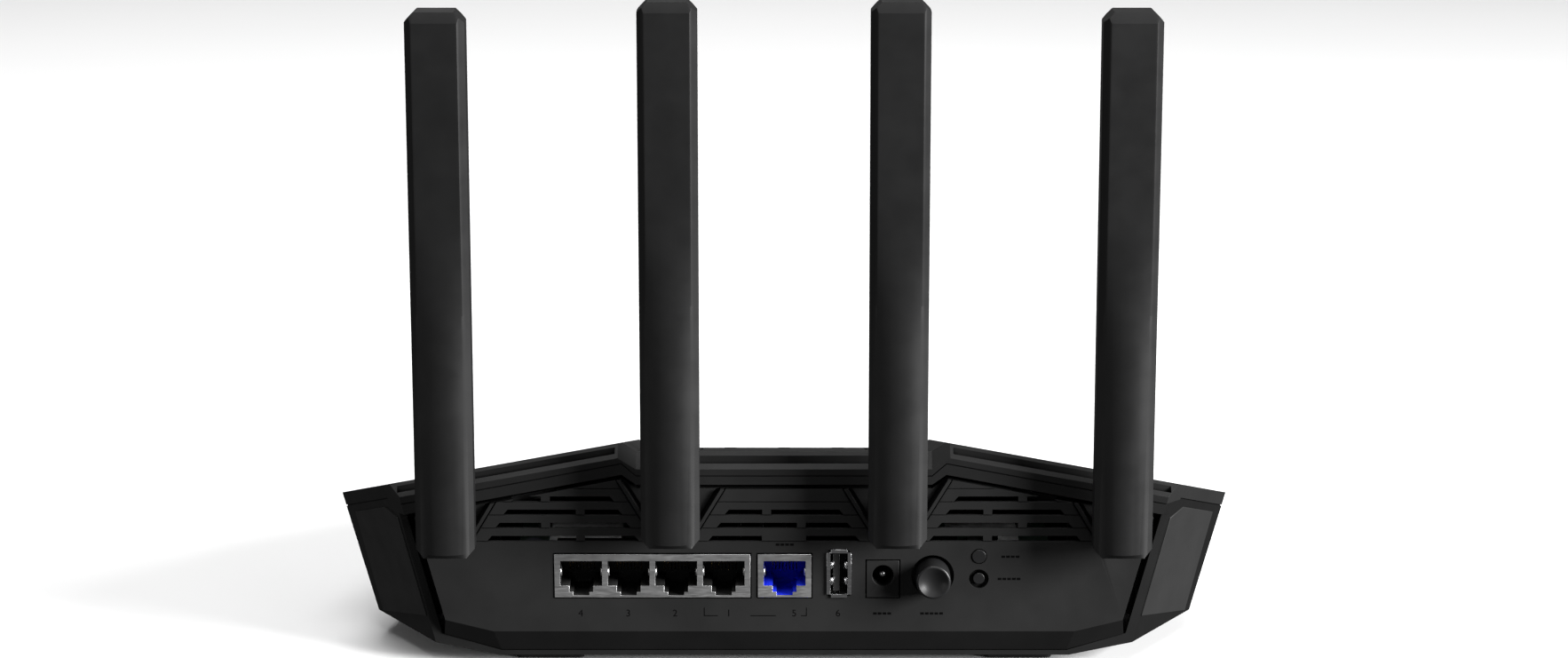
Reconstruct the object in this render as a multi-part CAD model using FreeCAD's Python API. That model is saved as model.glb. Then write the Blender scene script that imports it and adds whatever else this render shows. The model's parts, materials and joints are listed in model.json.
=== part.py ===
import FreeCAD, Part
import math
import os

# Wireless router: a faceted two-part case with a port panel at the back, four folding blade
# antennas in front of that panel, the main board with its connectors, and three push buttons.
#
# Working frame, in mm: x = 0 is the middle of the router, y = 0 is the outer face of the port
# panel, +y runs to the front edge of the case, z = 0 is the table under the feet.
# Each piece is moved by -middle_y when it is saved, so the origin of the finished part is the
# middle of its footprint on the table.

os.makedirs("parts", exist_ok=True)
V = FreeCAD.Vector

# ---- Case: outer form ------------------------------------------------------------------
foot_height = 2.6          # table to underside
wall = 2.2                 # thickness of the case walls
shell_rear_y = 3.0         # rear rim of the bottom case, behind the face of the port panel
chine_z = 6.5              # height where the side walls turn into the sloping underside facets
chine_angle = 13.8         # slope of those facets, degrees
# Each wall: direction it faces in plan (degrees), plan distance from the origin at chine_z,
# and how far its top leans outwards (degrees).
wing_wall = (-32.0, 85.84, 12.0)
side_wall = (13.4, 128.2, 16.3)
corner_wall = (55.9, 142.2, 16.0)
front_wall = (90.0, 122.5, 16.0)

# ---- Roof ------------------------------------------------------------------------------
ridge_x = 47.5             # half width between the two ridges
ridge_z = 67.1             # height of the ridges at lip_y
lip_y = 5.0                # where the roof starts, in front of the chamfer
side_fall = 0.184          # drop of the outer roof facets per mm outwards
top_fall = 0.255           # drop of the whole roof per mm forwards
trough_half = 43.3         # half width of the sunken middle
trough_depth = 2.65        # depth of the sunken middle below the ridges
part_drop = 4.1            # parting line of the two case halves, below the roof

# ---- Collar along the top of the back --------------------------------------------------
# Heights at y = 0: (at the ridges, in the sunken middle)
chamfer_foot = (63.8, 60.3)
cover_edge = (62.1, 58.4)
bar_edge = (58.6, 55.6)
chamfer_rise = 0.84        # slope of the collar's chamfer
collar_depth = 8.0
collar_fall = 0.19         # drop of the collar's lower edges per mm outwards
part_groove = 0.35         # width and depth of the groove at the parting line
roof_vent_count = 9
roof_vent_start = (60.0, 40.0)     # first roof slot: x, and y of its near end
roof_vent_step = (6.0, 1.5)        # from one slot to the next
roof_vent_width = 2.2
roof_vent_reach = (34.0, 1.2)      # length of the first slot, and how much each next one loses
roof_vent_lean = 0.35              # sideways lean per mm of length
base_vent_rows = (34.0, 62.0)      # y of the near end of each row of slots in the underside
base_vent_count = 19
base_vent_pitch = 6.0
base_vent_size = (2.4, 20.0)
slot_span = (0.32, 0.76)   # part of the chamfer that the collar slots take
slot_drop = 0.7            # the slots' floor lies this far below their lower edge
slot_end_inset = 2.0
slot_end_x = 113.5

# ---- Port panel ------------------------------------------------------------------------
panel_thickness = 3.0
panel_gap = 1.4            # between the collar bar and the panel
panel_top_corner = (108.3, 45.6)
panel_low_corner = (99.9, 14.3)
panel_foot = (85.7, 10.8)
band_corner = (100.4, 9.3)
band_foot = (83.65, 4.3)   # lower edge of the sloping band, at shell_rear_y
panel_flange = 4.0         # width of the flange behind the rim of the case
panel_flange_thickness = 1.4
channel_y = 11.0           # floor of the deep groove between the panel and the rim
channel_posts_z = (19.0, 29.0, 39.0)   # posts that rest that floor on the rim
channel_post_width = 2.0
rim_inner = [(111.0, 46.1), (101.1, 9.3), (83.65, 4.05)]

# ---- Vent louvres in the port panel ----------------------------------------------------
vent_pitch_x = 64.8        # middle of the router to the middle of an outer vent group
vent_base_z = 38.4         # lowest row line
vent_row = 4.0             # row pitch
vent_open = 1.65           # height of an opening
vent_slope = 1.4           # slant of an opening's outer end
vent_rows = 4              # rows in the outer groups; the middle one has one row fewer
vent_wall = 1.2            # thickness of the panel around the openings
vent_margin = 0.9          # the thin wall reaches this far past the openings
vent_half = 22.35          # half width of the lowest row
vent_taper = 2.4           # each row is this much narrower at each end than the one below
vent_bridge = 2.6          # solid bridge between the two openings of a row
vent_bridge_offset = 5.1
row_line_depth = 0.3
rib_half = 27.6            # half distance between a group's ribs at the lowest row line
rib_width = 1.1
rib_height = 0.7
rib_groove = 1.3
pocket_depth = 1.2
pocket_top_z = 60.0        # pockets and ribs run up past the panel's top edge
pocket_edge_margin = 2.0
rib_groove_depth = 2.3     # of the wide groove outside each rib
rib_line = (0.5, 1.6)      # width and depth of the narrow groove inside each rib
row_line_width = 0.3

# ---- Antennas --------------------------------------------------------------------------
antenna_x = (98.2, 32.95)          # outer and inner
antenna_foot_z = (37.6, 40.5)
antenna_length = 159.2
blade_width = 17.0
blade_thickness = 11.0
pivot_rise = 5.8                   # pivot above the antenna's lower end
pivot_y = -11.0
blade_face_chamfer = (2.0, 2.7)    # width and depth of the chamfers beside the flat outer face
blade_rear_chamfer = 1.2
blade_top_corner = 3.0
blade_low_corner = 2.3
blade_wall = 1.6
blade_split_y = 2.4                # joint of the two blade shells, from the pivot
blade_top_slope = (3.0, 0.5)       # height and slope of the facet at the tip
blade_low_slope = 1.2
blade_side_wall = 2.3              # beside the space inside the blade
cavity_front_wall = 2.1
cavity_ends = (8.0, 5.0)           # its start above the pivot, and its distance from the tip
passage_radius = 1.2
radiator_thickness = 0.8
radiator_end_gap = (4.0, 20.4)     # from the lower and upper ends of the space inside
tongue_width = 6.4
tongue_radius = 3.5
hinge_gap = 0.3
pin_radius = 1.2
pin_inset = 1.5                    # the hinge pin's ends lie this far inside the blade's sides
running_gap = 0.05
neck_flange_radius = 5.5
neck_shaft_radius = 3.0
neck_end_y = 8.0
neck_bore_radius = 1.1
neck_flange_thickness = 2.9
neck_groove_depth = 0.5
lead_radius = 0.65
retainer_thickness = 1.0
retainer_half = 6.0
retainer_reach = (7.0, 1.5)        # below and above the neck's axis
retainer_grip = 0.1                # clearance of the plate in the neck's groove
lead_start_y = 2.0
lead_drop_y = 24.0
plug_size = (1.5, 1.6)             # radius and height
outer_plug_x = 78.0

# ---- Board and connectors --------------------------------------------------------------
board_top_z = 21.2
board_thickness = 1.6
board_half_width = 82.0
board_rear_y = 3.6
board_front_y = 118.0
board_corner = (16.0, 80.0)        # width of the front corners' cut, and where it starts
seat_gap = 0.1             # connectors stand this far above the board's face
jack_proud = 0.3           # connectors stand this far out of the panel
jack_gap = 0.35
jack_depth = 17.0
jack_height = 13.2
jack_sheet = 0.3
lan_edges = (-67.5, -9.9)
lan_count = 4
socket_pitch = 13.97
wan_edges = (-7.7, 8.05)
socket_width = 12.3
socket_main_height = 7.5
socket_steps = ((7.0, 1.9), (4.75, 1.0))    # width and height of the latch steps
socket_top_margin = 2.1
socket_depth = 14.0
contact_pitch = 1.02
contact_width = 0.36
contact_count = 8
contact_start = 3.0
contact_fall = 1.7
usb_x = 16.17
usb_size = (5.7, 13.1)
usb_flange = (7.3, 14.7)
usb_notch = (1.3, 1.0)     # cut-outs at the flange's corners
usb_depth = 14.0
usb_tongue_size = (1.9, 11.4)
usb_tongue_offset = 0.2
usb_tongue_start = 1.0
usb_base = 2.5
dc_edges = (24.26, 33.86)
dc_height = 11.2
dc_centre_z = 27.93
dc_bore_radius = 3.13
dc_depth = 13.5
dc_pin_radius = 1.0
dc_pin_start = 1.2
dc_end_wall = 3.5
power_x = 43.73
power_z = 27.9
power_radius = 5.1
power_gap = 1.15           # between the cap and its hole
power_hole_radius = power_radius + power_gap
power_reach = 7.3
power_travel = 1.6
power_edge = 0.8           # rounding of the cap's edge
power_flange = (0.9, 1.2)  # how far the flange is wider than its hole, and its thickness
power_flange_gap = 0.8     # free space before and behind the flange, beyond the travel
power_stem = (2.0, 8.0)    # radius and length
power_switch_size = (5.0, 12.0, 5.0)   # half width, depth, height above the button's axis
small_button_x = 57.3
wps_z = 33.8
wps_radius = 2.05
reset_z = 26.9
reset_radius = 1.7
reset_recess_radius = 2.9
reset_recess_depth = 1.5
small_button_gap = 0.25
wps_front_y = -0.35        # front face of the upper small button
reset_front_y = 0.3
small_flange = (0.9, 0.8)
small_flange_gap = 0.5
small_stem = (1.0, 2.0)
small_travel = 0.6
tact_size = (6.0, 3.0)     # width and depth of a tact switch
button_board_size = (12.0, 1.0, 4.5)   # width, thickness, height above the upper button's axis

# ---- Fasteners, feet and small pieces --------------------------------------------------
case_screw_places = ((90.0, 36.0), (78.0, 104.0))
case_boss_radius = 4.2
case_boss_split_z = 24.0
case_screw_radius = 1.6
case_screw_head = 2.9
case_screw_seat = 2.8      # depth of the screw's seat above the underside
case_screw_grip = 5.0      # length of the screw inside the upper boss
board_screw_places = ((75.0, 13.0), (75.0, 78.0))
board_screw_radius = 1.4
board_screw_head = 2.7
board_screw_length = 9.0
standoff_radius = 3.4
foot_length = 20.0
foot_depth = 9.0
foot_x = 69.6
foot_rear_y = 8.0
foot_front_y = 92.0
foot_seat = 0.8
foot_corner = 1.5
label_size = (70.0, 20.0)
label_thickness = 0.15
label_inset = 4.0          # the label starts this far behind the front feet
led_count = 4
led_pitch = 17.3
led_width = 13.5
led_y = 113.0
led_depth = 3.0
led_proud = 0.1
guide_bar_height = 2.5
guide_stem_width = 3.0
plate_start_y = 8.0
plate_end_y = 106.0
plate_thickness = 1.4
plate_gap = 0.2
wing_panel_thickness = 1.0
wing_panel_proud = 0.3
plate_groove_x = 26.0
plate_groove = (1.2, 0.5)  # width and depth
# Outline of the inset wing panels: (distance forwards, distance upwards) along the wing's face,
# from the lower rear corner of the wing.
wing_panel_outline = [(1.9, 8.1), (6.8, 38.8), (14.6, 40.3), (38.4, 32.7), (34.4, 0.9)]

# ---- Pieces on the main board: x, y of the middle, and sizes ---------------------------
chip_height = 1.2
hot_chips = ((0, 66, 19), (-26, 60, 12), (26, 60, 12))            # square: x, y, width
flat_chips = ((0, 92, 14, 9), (-26, 88, 8, 6), (24, 90, 6, 5))    # x, y, width, depth
flat_chip_height = 1.0
pad_thickness = 0.8
heatsink_box = (42.0, 44.0, 84.0)  # half width, near and far ends
heatsink_base = 2.4
heatsink_height = 10.0
fin_count = 13
fin_thickness = 1.2
can_box = (50.0, 72.0, 46.0, 72.0) # x and y limits of the right-hand shield can
can_height = 3.6
can_sheet = 0.4
# x, y, radius, height
capacitor_places = ((40.0, 33.0, 4.0, 11.0), (50.0, 33.0, 4.0, 11.0), (60.0, 33.0, 3.2, 8.0),
                    (-76.0, 40.0, 2.5, 6.0))
transformer_x = ((-54.0, 16.0), (-22.0, 16.0), (0.0, 12.0))       # x and width
transformer_size = (10.0, 5.5)
transformer_gap = 11.0             # from the sockets to the transformers
inductors = ((24, 33, 7, 7, 3.2), (12, 36, 5, 5, 2.4))
lamp_size = (2.0, 1.4, 0.8)

far = 600.0                # larger than anything in the part


# ---- Small helpers ---------------------------------------------------------------------
def block(x0, x1, y0, y1, z0, z1):
    return Part.makeBox(x1 - x0, y1 - y0, z1 - z0, V(x0, y0, z0))


def rod(x, y, z, axis, radius, length):
    return Part.makeCylinder(radius, length, V(x, y, z), V(*axis))


def slab(points, y0, y1):
    """A polygon of (x, z) points, extruded from y0 to y1."""
    outline = [V(x, y0, z) for x, z in points]
    return Part.Face(Part.makePolygon(outline + outline[:1])).extrude(V(0, y1 - y0, 0))


def sheet(points, z0, z1):
    """A polygon of (x, y) points, extruded from z0 to z1."""
    outline = [V(x, y, z0) for x, y in points]
    return Part.Face(Part.makePolygon(outline + outline[:1])).extrude(V(0, 0, z1 - z0))


def mirrored(shape):
    return shape.mirror(V(0, 0, 0), V(1, 0, 0))


def both_sides(points):
    """A right-hand outline followed by its mirror image, as one closed outline."""
    return points + [(-x, z) for x, z in reversed(points)]


def half_space(point, normal):
    """A large block standing on a plane, on the side its normal points to."""
    piece = Part.makeBox(far, far, far, V(-far / 2, -far / 2, 0))
    piece.Placement = FreeCAD.Placement(point, FreeCAD.Rotation(V(0, 0, 1), normal))
    return piece


def trim(shape, planes, inset=0.0):
    """The shape behind all the planes, each moved inwards by the inset."""
    for point, normal in planes:
        unit = V(*normal).normalize()
        shape = shape.cut(half_space(V(*point) - unit * inset, unit))
    return shape


def fuse(shapes):
    return shapes[0].multiFuse(shapes[1:]).removeSplitter() if len(shapes) > 1 else shapes[0]


# ---- Planes of the case ----------------------------------------------------------------
def wall_planes(wall_data):
    """The leaning wall and the chine facet under it, on one side of the case."""
    turn, distance, lean = wall_data
    c, s = math.cos(math.radians(turn)), math.sin(math.radians(turn))
    foot = (distance * c, distance * s, chine_z)
    lean_c, lean_s = math.cos(math.radians(lean)), math.sin(math.radians(lean))
    chine_c, chine_s = math.cos(math.radians(chine_angle)), math.sin(math.radians(chine_angle))
    return [(foot, (c * lean_c, s * lean_c, -lean_s)), (foot, (c * chine_s, s * chine_s, -chine_c))]


def mirror_plane(plane):
    (px, py, pz), (nx, ny, nz) = plane
    return (-px, py, pz), (-nx, ny, nz)


right_planes = wall_planes(wing_wall) + wall_planes(side_wall) + wall_planes(corner_wall)
case_planes = right_planes + [mirror_plane(p) for p in right_planes] + wall_planes(front_wall)
wing_planes = [wall_planes(wing_wall)[0], mirror_plane(wall_planes(wing_wall)[0])]


def roof_planes(height, fall):
    """Two outer facets and the flat middle; height is that of the ridges at lip_y."""
    planes = [((side * ridge_x, lip_y, height), (side * side_fall, fall, 1.0)) for side in (-1, 1)]
    return planes + [((0, lip_y, height), (0, fall, 1.0))]


def hull(inset, rear_y, drop):
    """The outer form of the case, moved inwards by the inset and down by the drop at the roof."""
    solid = block(-far / 4, far / 4, rear_y + inset, far / 2, foot_height + inset, far / 4)
    return trim(trim(solid, case_planes, inset), roof_planes(ridge_z - drop, top_fall))


def collar_line(heights, lift=0.0, reach=125.0):
    """Right half of one of the collar's edges, as (x, z) points at y = 0."""
    ridge, middle = heights
    end_z = ridge - collar_fall * (reach - ridge_x)
    return [(reach, end_z + lift), (ridge_x, ridge + lift), (trough_half, middle + lift)]


def full_line(right):
    """A collar edge across the whole back, from left to right."""
    return [(-x, z) for x, z in right] + right[::-1]


def collar_band(lower, upper, y0, y1, lower_lift=0.0):
    """The strip between two of the collar's edges, across the whole back."""
    low = full_line(collar_line(lower, lower_lift))
    return slab(full_line(collar_line(upper)) + low[::-1], y0, y1)


def above(heights, lift, y0, y1):
    """Everything above one of the collar's edges."""
    right = collar_line(heights, lift)
    top = right[0][0], far / 4
    return slab(both_sides([top] + right), y0, y1)


def trough(drop, y_end):
    """The sunken middle of the roof, from the collar's chamfer to y_end."""
    floor = ridge_z - trough_depth - drop
    flank = (ridge_x - trough_half) / trough_depth
    rise = 12.0
    points = both_sides([(trough_half, floor), (trough_half + rise * flank, floor + rise)])
    outline = [V(x, lip_y, z) for x, z in points]
    face = Part.Face(Part.makePolygon(outline + outline[:1]))
    forward = y_end - lip_y
    back = -lip_y - 1.0
    return fuse([face.extrude(V(0, forward, -top_fall * forward)),
                 face.extrude(V(0, back, chamfer_rise * back))])


def trough_floor(y):
    return ridge_z - trough_depth - top_fall * (y - lip_y)


def roof_height(x, y):
    return ridge_z - side_fall * max(0.0, abs(x) - ridge_x) - top_fall * (y - lip_y)


def wing_frame():
    """Origin and directions (forwards, upwards, outwards) of the right wing's face."""
    (point, normal) = wall_planes(wing_wall)[0]
    outward = V(*normal)
    forward = V(-normal[1], normal[0], 0).normalize()
    upward = outward.cross(forward)
    start = V(*point) + forward * ((shell_rear_y - point[1]) / forward.y)
    return start, forward, upward, outward


def wing_panel(margin, low, high):
    """A plate on the right wing's face: outline grown by the margin, between two depths."""
    start, forward, upward, outward = wing_frame()
    corners = [start + forward * a + upward * b + outward * low for a, b in wing_panel_outline]
    face = Part.Face(Part.makePolygon(corners + corners[:1]))
    if margin:
        face = Part.Face(face.makeOffset2D(margin, 2).Wires[0])
    return face.extrude(outward * (high - low))


# ---- Case pieces -----------------------------------------------------------------------
def case_bosses(places, radius, z0, z1):
    return [rod(side * x, y, z0, (0, 0, 1), radius, z1 - z0) for x, y in places for side in (-1, 1)]


def base_vents():
    """Two rows of air slots through the underside."""
    half, reach = base_vent_size[0] / 2, base_vent_size[1]
    slots = []
    for row_y in base_vent_rows:
        for k in range(base_vent_count):
            x = (k - (base_vent_count - 1) / 2) * base_vent_pitch
            slots.append(block(x - half, x + half, row_y, row_y + reach, 0, foot_height + wall + 1))
    return slots


def make_bottom_case():
    """Lower shell with the rear rim, the bar under the collar, bosses, standoffs and vents."""
    floor = foot_height + wall
    outer = hull(0, shell_rear_y, part_drop)
    body = outer.cut(hull(wall, shell_rear_y, wall))
    opening = both_sides(collar_line(bar_edge, reach=rim_inner[0][0])[::-1] + rim_inner)
    body = body.cut(slab(opening, 0, shell_rear_y + wall + 1))
    body = body.cut(above(cover_edge, 0, -1, collar_depth))
    bar = trim(collar_band(bar_edge, cover_edge, 0, shell_rear_y + wall), wing_planes)
    bar = bar.cut(collar_band(cover_edge, cover_edge, -1, part_groove, -part_groove))
    posts = case_bosses(case_screw_places, case_boss_radius, foot_height, case_boss_split_z)
    board_low_z = board_top_z - board_thickness
    standoffs = case_bosses(board_screw_places, standoff_radius, floor - 0.5, board_low_z)
    body = fuse([body, bar] + posts + standoffs)
    groove = hull(0, shell_rear_y, part_drop).cut(hull(0, shell_rear_y, part_drop + part_groove))
    groove = groove.cut(hull(part_groove, shell_rear_y, 0))
    body = body.cut(groove.cut(block(-far, far, 0, collar_depth, 0, far)))
    body = body.cut(wing_panel(0, wing_panel_proud - wing_panel_thickness, 5))
    body = body.cut(mirrored(wing_panel(0, wing_panel_proud - wing_panel_thickness, 5)))
    holes = case_bosses(case_screw_places, case_screw_radius, 0, case_boss_split_z + 1)
    heads = case_bosses(case_screw_places, case_screw_head + 0.3, 0, foot_height + case_screw_seat)
    pilots = case_bosses(board_screw_places, board_screw_radius, floor + 2, board_top_z)
    seats = [block(x0, x1, y0, y1, 0, foot_height + foot_seat) for x0, x1, y0, y1 in foot_boxes()]
    return body.cut(holes + heads + pilots + seats + base_vents())


def foot_boxes():
    """Footprints of the four rubber feet: x and y limits."""
    half = foot_length / 2
    return [(side * foot_x - half, side * foot_x + half, y, y + foot_depth)
            for side in (-1, 1) for y in (foot_rear_y, foot_front_y)]


def collar_slots():
    """The long slots in the collar's chamfer: one in the middle and one on each side."""
    low, high = slot_span
    flank = ridge_x - trough_half
    rise = chamfer_rise + top_fall
    middle_run = (ridge_z - trough_depth + top_fall * lip_y - chamfer_foot[1]) / rise
    side_run = (ridge_z + top_fall * lip_y - chamfer_foot[0]) / rise
    half = trough_half - flank / 2
    spans = ((middle_run, chamfer_foot[1], -half, half, 0.0),
             (side_run, chamfer_foot[0], ridge_x + slot_end_inset, slot_end_x, side_fall))
    cuts = []
    for run, base, x0, x1, fall in spans:
        y0, y1 = run * low, run * high
        z0, z1 = base + chamfer_rise * y0, base + chamfer_rise * y1
        out_y, out_z = -2 * chamfer_rise, 2.0
        section = [(y0, z0), (y0 + out_y, z0 + out_z), (y1 + out_y, z1 + out_z), (y1, z1),
                   (y1, z0 - slot_drop), (y0 + slot_drop, z0 - slot_drop)]
        drop = fall * (x0 - ridge_x)
        corners = [V(x0, y, z - drop) for y, z in section]
        along = V(x1 - x0, 0, -fall * (x1 - x0))
        cuts.append(Part.Face(Part.makePolygon(corners + corners[:1])).extrude(along))
        if fall:
            cuts.append(mirrored(cuts[-1]))
    return cuts


def roof_vents():
    """Slanted air slots through the outer roof facets."""
    cuts = []
    for k in range(roof_vent_count):
        x, near = [start + step * k for start, step in zip(roof_vent_start, roof_vent_step)]
        reach = roof_vent_reach[0] - roof_vent_reach[1] * k
        lean = roof_vent_lean * reach
        points = [(x, near), (x + roof_vent_width, near), (x + roof_vent_width - lean, near + reach),
                  (x - lean, near + reach)]
        cut = sheet(points, roof_height(x, near + reach) - part_drop - wall, far)
        cuts += [cut, mirrored(cut)]
    return cuts


def make_top_cover():
    """Upper shell with the collar, the sunken middle and its slots."""
    outer = hull(0, 0, 0)
    lower = trim(hull(0, 0, 0), roof_planes(ridge_z - part_drop, top_fall))
    collar_zone = above(cover_edge, 0, -1, collar_depth)
    shell = outer.cut(lower).fuse(outer.common(collar_zone))
    chamfer_height = chamfer_foot[0] + chamfer_rise * lip_y
    shell = trim(shell, roof_planes(chamfer_height, -chamfer_rise)).cut(trough(0, far / 2))
    inner = trim(hull(wall, 0, wall), roof_planes(chamfer_height - 1.4 * wall, -chamfer_rise))
    inner = inner.cut(trough(wall + plate_thickness, far / 2))
    shell = shell.cut(inner)
    posts = case_bosses(case_screw_places, case_boss_radius, case_boss_split_z, ridge_z)
    posts = [trim(post, roof_planes(ridge_z - wall / 2, top_fall)) for post in posts]
    shell = fuse([shell] + posts)
    shell = shell.cut(plate_solid(0, plate_thickness + 6))
    screw_end = case_boss_split_z + case_screw_grip
    cuts = case_bosses(case_screw_places, case_screw_radius, case_boss_split_z - 1, screw_end + 1)
    return shell.cut(cuts + collar_slots() + roof_vents() + led_tabs(3 * wall + led_proud, led_proud))


def plate_solid(gap, height):
    """The centre plate, or with no gap the seat that is cut for it, standing up by the height."""
    half = trough_half - gap
    floor = trough_floor(plate_start_y + gap) - plate_thickness
    y0, y1 = plate_start_y + gap, plate_end_y - gap
    return roof_bar(-half, half, y0, y1, floor, floor + height)


def roof_bar(x0, x1, y0, y1, z0, z1):
    """A bar that runs down parallel to the roof; z0 and z1 are its heights at y0."""
    corners = [V(x0, y0, z0), V(x1, y0, z0), V(x1, y0, z1), V(x0, y0, z1)]
    forward = V(0, y1 - y0, -top_fall * (y1 - y0))
    return Part.Face(Part.makePolygon(corners + corners[:1])).extrude(forward)


def make_top_plate():
    """Centre plate with two long grooves."""
    width, depth = plate_groove
    floor = trough_floor(0) - depth
    grooves = [roof_bar(x - width / 2, x + width / 2, 0, plate_end_y + 10, floor, floor + 5)
               for x in (-plate_groove_x, plate_groove_x)]
    return plate_solid(plate_gap, plate_thickness).cut(grooves)


def led_places():
    return [(k - (led_count - 1) / 2) * led_pitch for k in range(led_count)]


def led_tabs(depth, proud):
    """The light guide's windows, parallel to the roof and filling their holes in it."""
    top = trough_floor(led_y) + proud
    return [roof_bar(x - led_width / 2, x + led_width / 2, led_y, led_y + led_depth, top - depth, top)
            for x in led_places()]


def make_light_guide():
    """Clear bar under the roof with a window and a stem for each lamp."""
    shown = led_places()
    y0, y1 = led_y, led_y + led_depth
    under = trough_floor(y1) - plate_thickness - wall - 0.3
    ends = shown[0] - led_width / 2, shown[-1] + led_width / 2
    bar = block(ends[0], ends[1], y0, y1, under - guide_bar_height, under)
    depth = trough_floor(led_y) + led_proud - (under - 1.0)
    half = guide_stem_width / 2
    low_z = board_top_z + lamp_size[2] + 0.2
    stems = [block(x - half, x + half, y0, y1, low_z, under - 1.0) for x in shown]
    return fuse([bar] + led_tabs(depth, led_proud) + stems)


def make_wing_panel():
    return wing_panel(0, wing_panel_proud - wing_panel_thickness, wing_panel_proud)


# ---- Port panel ------------------------------------------------------------------------
def panel_outline():
    """Right half of the panel's outline, from the top middle round to the bottom of the band."""
    top = collar_line(bar_edge, -panel_gap, panel_top_corner[0])[::-1]
    return top[:-1] + [panel_top_corner, panel_low_corner, band_corner, band_foot]


def band_planes():
    """The sloping band under the panel: its middle and its two turned-up ends."""
    planes = [((0, 0, panel_foot[1]), (0, band_foot[1] - panel_foot[1], -shell_rear_y))]
    a = V(panel_low_corner[0], 0, panel_low_corner[1])
    b = V(panel_foot[0], 0, panel_foot[1])
    c = V(band_foot[0], shell_rear_y, band_foot[1])
    normal = (b - a).cross(c - a).normalize()
    if normal.z > 0:
        normal = normal * -1
    side = (tuple(a), tuple(normal))
    return planes + [side, mirror_plane(side)]


def cluster_centres():
    return [-vent_pitch_x, 0.0, vent_pitch_x]


def vent_cuts():
    """Louvre openings: rows of two, with the bridge between them stepping from side to side."""
    cuts = []
    for centre in cluster_centres():
        swap = 1 if centre < 0 else -1
        for row in range(vent_rows - (centre == 0)):
            z = vent_base_z + vent_row * row
            half = vent_half - vent_taper * row
            bridge = swap * vent_bridge_offset * (1 if row % 2 == 0 else -1)
            width = vent_bridge
            if centre == 0 and row == 0:
                bridge, width = 0.0, 5 * vent_bridge
            for x0, x1 in ((-half, bridge - width / 2), (bridge + width / 2, half)):
                slope0 = vent_slope if x0 == -half else 0.0
                slope1 = vent_slope if x1 == half else 0.0
                points = [(centre + x0, z), (centre + x1, z), (centre + x1 - slope1, z + vent_open),
                          (centre + x0 + slope0, z + vent_open)]
                cuts.append(slab(points, -1, panel_thickness + 1))
    return cuts


def vent_thinning():
    """Hollows behind the vent groups, so that the openings are cut through a thin wall."""
    cuts = []
    for centre in cluster_centres():
        z0 = vent_base_z - vent_margin
        z1 = z0 + (vent_rows - (centre == 0)) * vent_row
        low = vent_half + vent_margin
        high = low - vent_taper * (z1 - z0) / vent_row
        points = [(centre - low, z0), (centre + low, z0), (centre + high, z1), (centre - high, z1)]
        cuts.append(slab(points, vent_wall, panel_thickness + 1))
    return cuts


def rib_x(z):
    return rib_half - (vent_taper / vent_row) * (z - vent_base_z)


def rib_strip(centre, side, inner, outer, y0, y1):
    """A sloping strip beside a vent group's rib line, clipped to the panel later."""
    low_z, high_z = vent_base_z, pocket_top_z
    corners = ((low_z, inner), (low_z, outer), (high_z, outer), (high_z, inner))
    return slab([(centre + side * (rib_x(z) + offset), z) for z, offset in corners], y0, y1)


def row_lines():
    """Fine lines across each vent group at the louvre edges."""
    cuts = []
    up = row_line_width / 2
    for centre in cluster_centres():
        for row in range(vent_rows + 1):
            z = vent_base_z + vent_row * row
            half = rib_x(z) - rib_width
            cuts.append(block(centre - half, centre + half, -1, row_line_depth, z - up, z + up))
    return cuts


def antenna_pockets():
    """Flat recesses behind the antennas, between neighbouring vent groups."""
    groove = rib_width / 2 + rib_groove
    cuts = []
    for left, right in ((-vent_pitch_x, 0.0), (0.0, vent_pitch_x)):
        points = [(left + rib_x(z) + groove, z) for z in (vent_base_z, pocket_top_z)]
        points += [(right - rib_x(z) - groove, z) for z in (pocket_top_z, vent_base_z)]
        cuts.append(slab(points, -1, pocket_depth))
    points = [(vent_pitch_x + rib_x(z) + groove, z) for z in (vent_base_z, pocket_top_z)]
    edge = panel_top_corner[0] - pocket_edge_margin
    points += [(edge, pocket_top_z), (edge, vent_base_z)]
    outer = slab(points, -1, pocket_depth)
    return cuts + [outer, mirrored(outer)]


def port_cuts():
    """Openings for the connectors and buttons."""
    y0, y1 = -1, panel_thickness + 1
    g = jack_gap
    low = board_top_z + seat_gap - g
    small = small_button_gap
    cuts = [block(lan_edges[0] - g, lan_edges[1] + g, y0, y1, low, low + jack_height + 2 * g),
            block(wan_edges[0] - g, wan_edges[1] + g, y0, y1, low, low + jack_height + 2 * g),
            block(usb_x - usb_size[0] / 2 - g, usb_x + usb_size[0] / 2 + g, y0, y1,
                  usb_z() - usb_size[1] / 2 - g, usb_z() + usb_size[1] / 2 + g),
            block(dc_edges[0] - g, dc_edges[1] + g, y0, y1, low, low + dc_height + 2 * g),
            rod(power_x, y0, power_z, (0, 1, 0), power_hole_radius, y1 - y0),
            rod(small_button_x, y0, wps_z, (0, 1, 0), wps_radius + small, y1 - y0),
            rod(small_button_x, y0, reset_z, (0, 1, 0), reset_radius + small, y1 - y0),
            rod(small_button_x, y0, reset_z, (0, 1, 0), reset_recess_radius, reset_recess_depth - y0)]
    return cuts


def usb_z():
    return board_top_z + seat_gap + usb_flange[1] / 2


def neck_places():
    """Each antenna: name, x, and height of its pivot."""
    places = []
    for rank, x, foot in zip(("outer", "inner"), antenna_x, antenna_foot_z):
        for side, label in ((-1, "left"), (1, "right")):
            places.append((f"{rank}_{label}", side * x, foot + pivot_rise))
    return places


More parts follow.
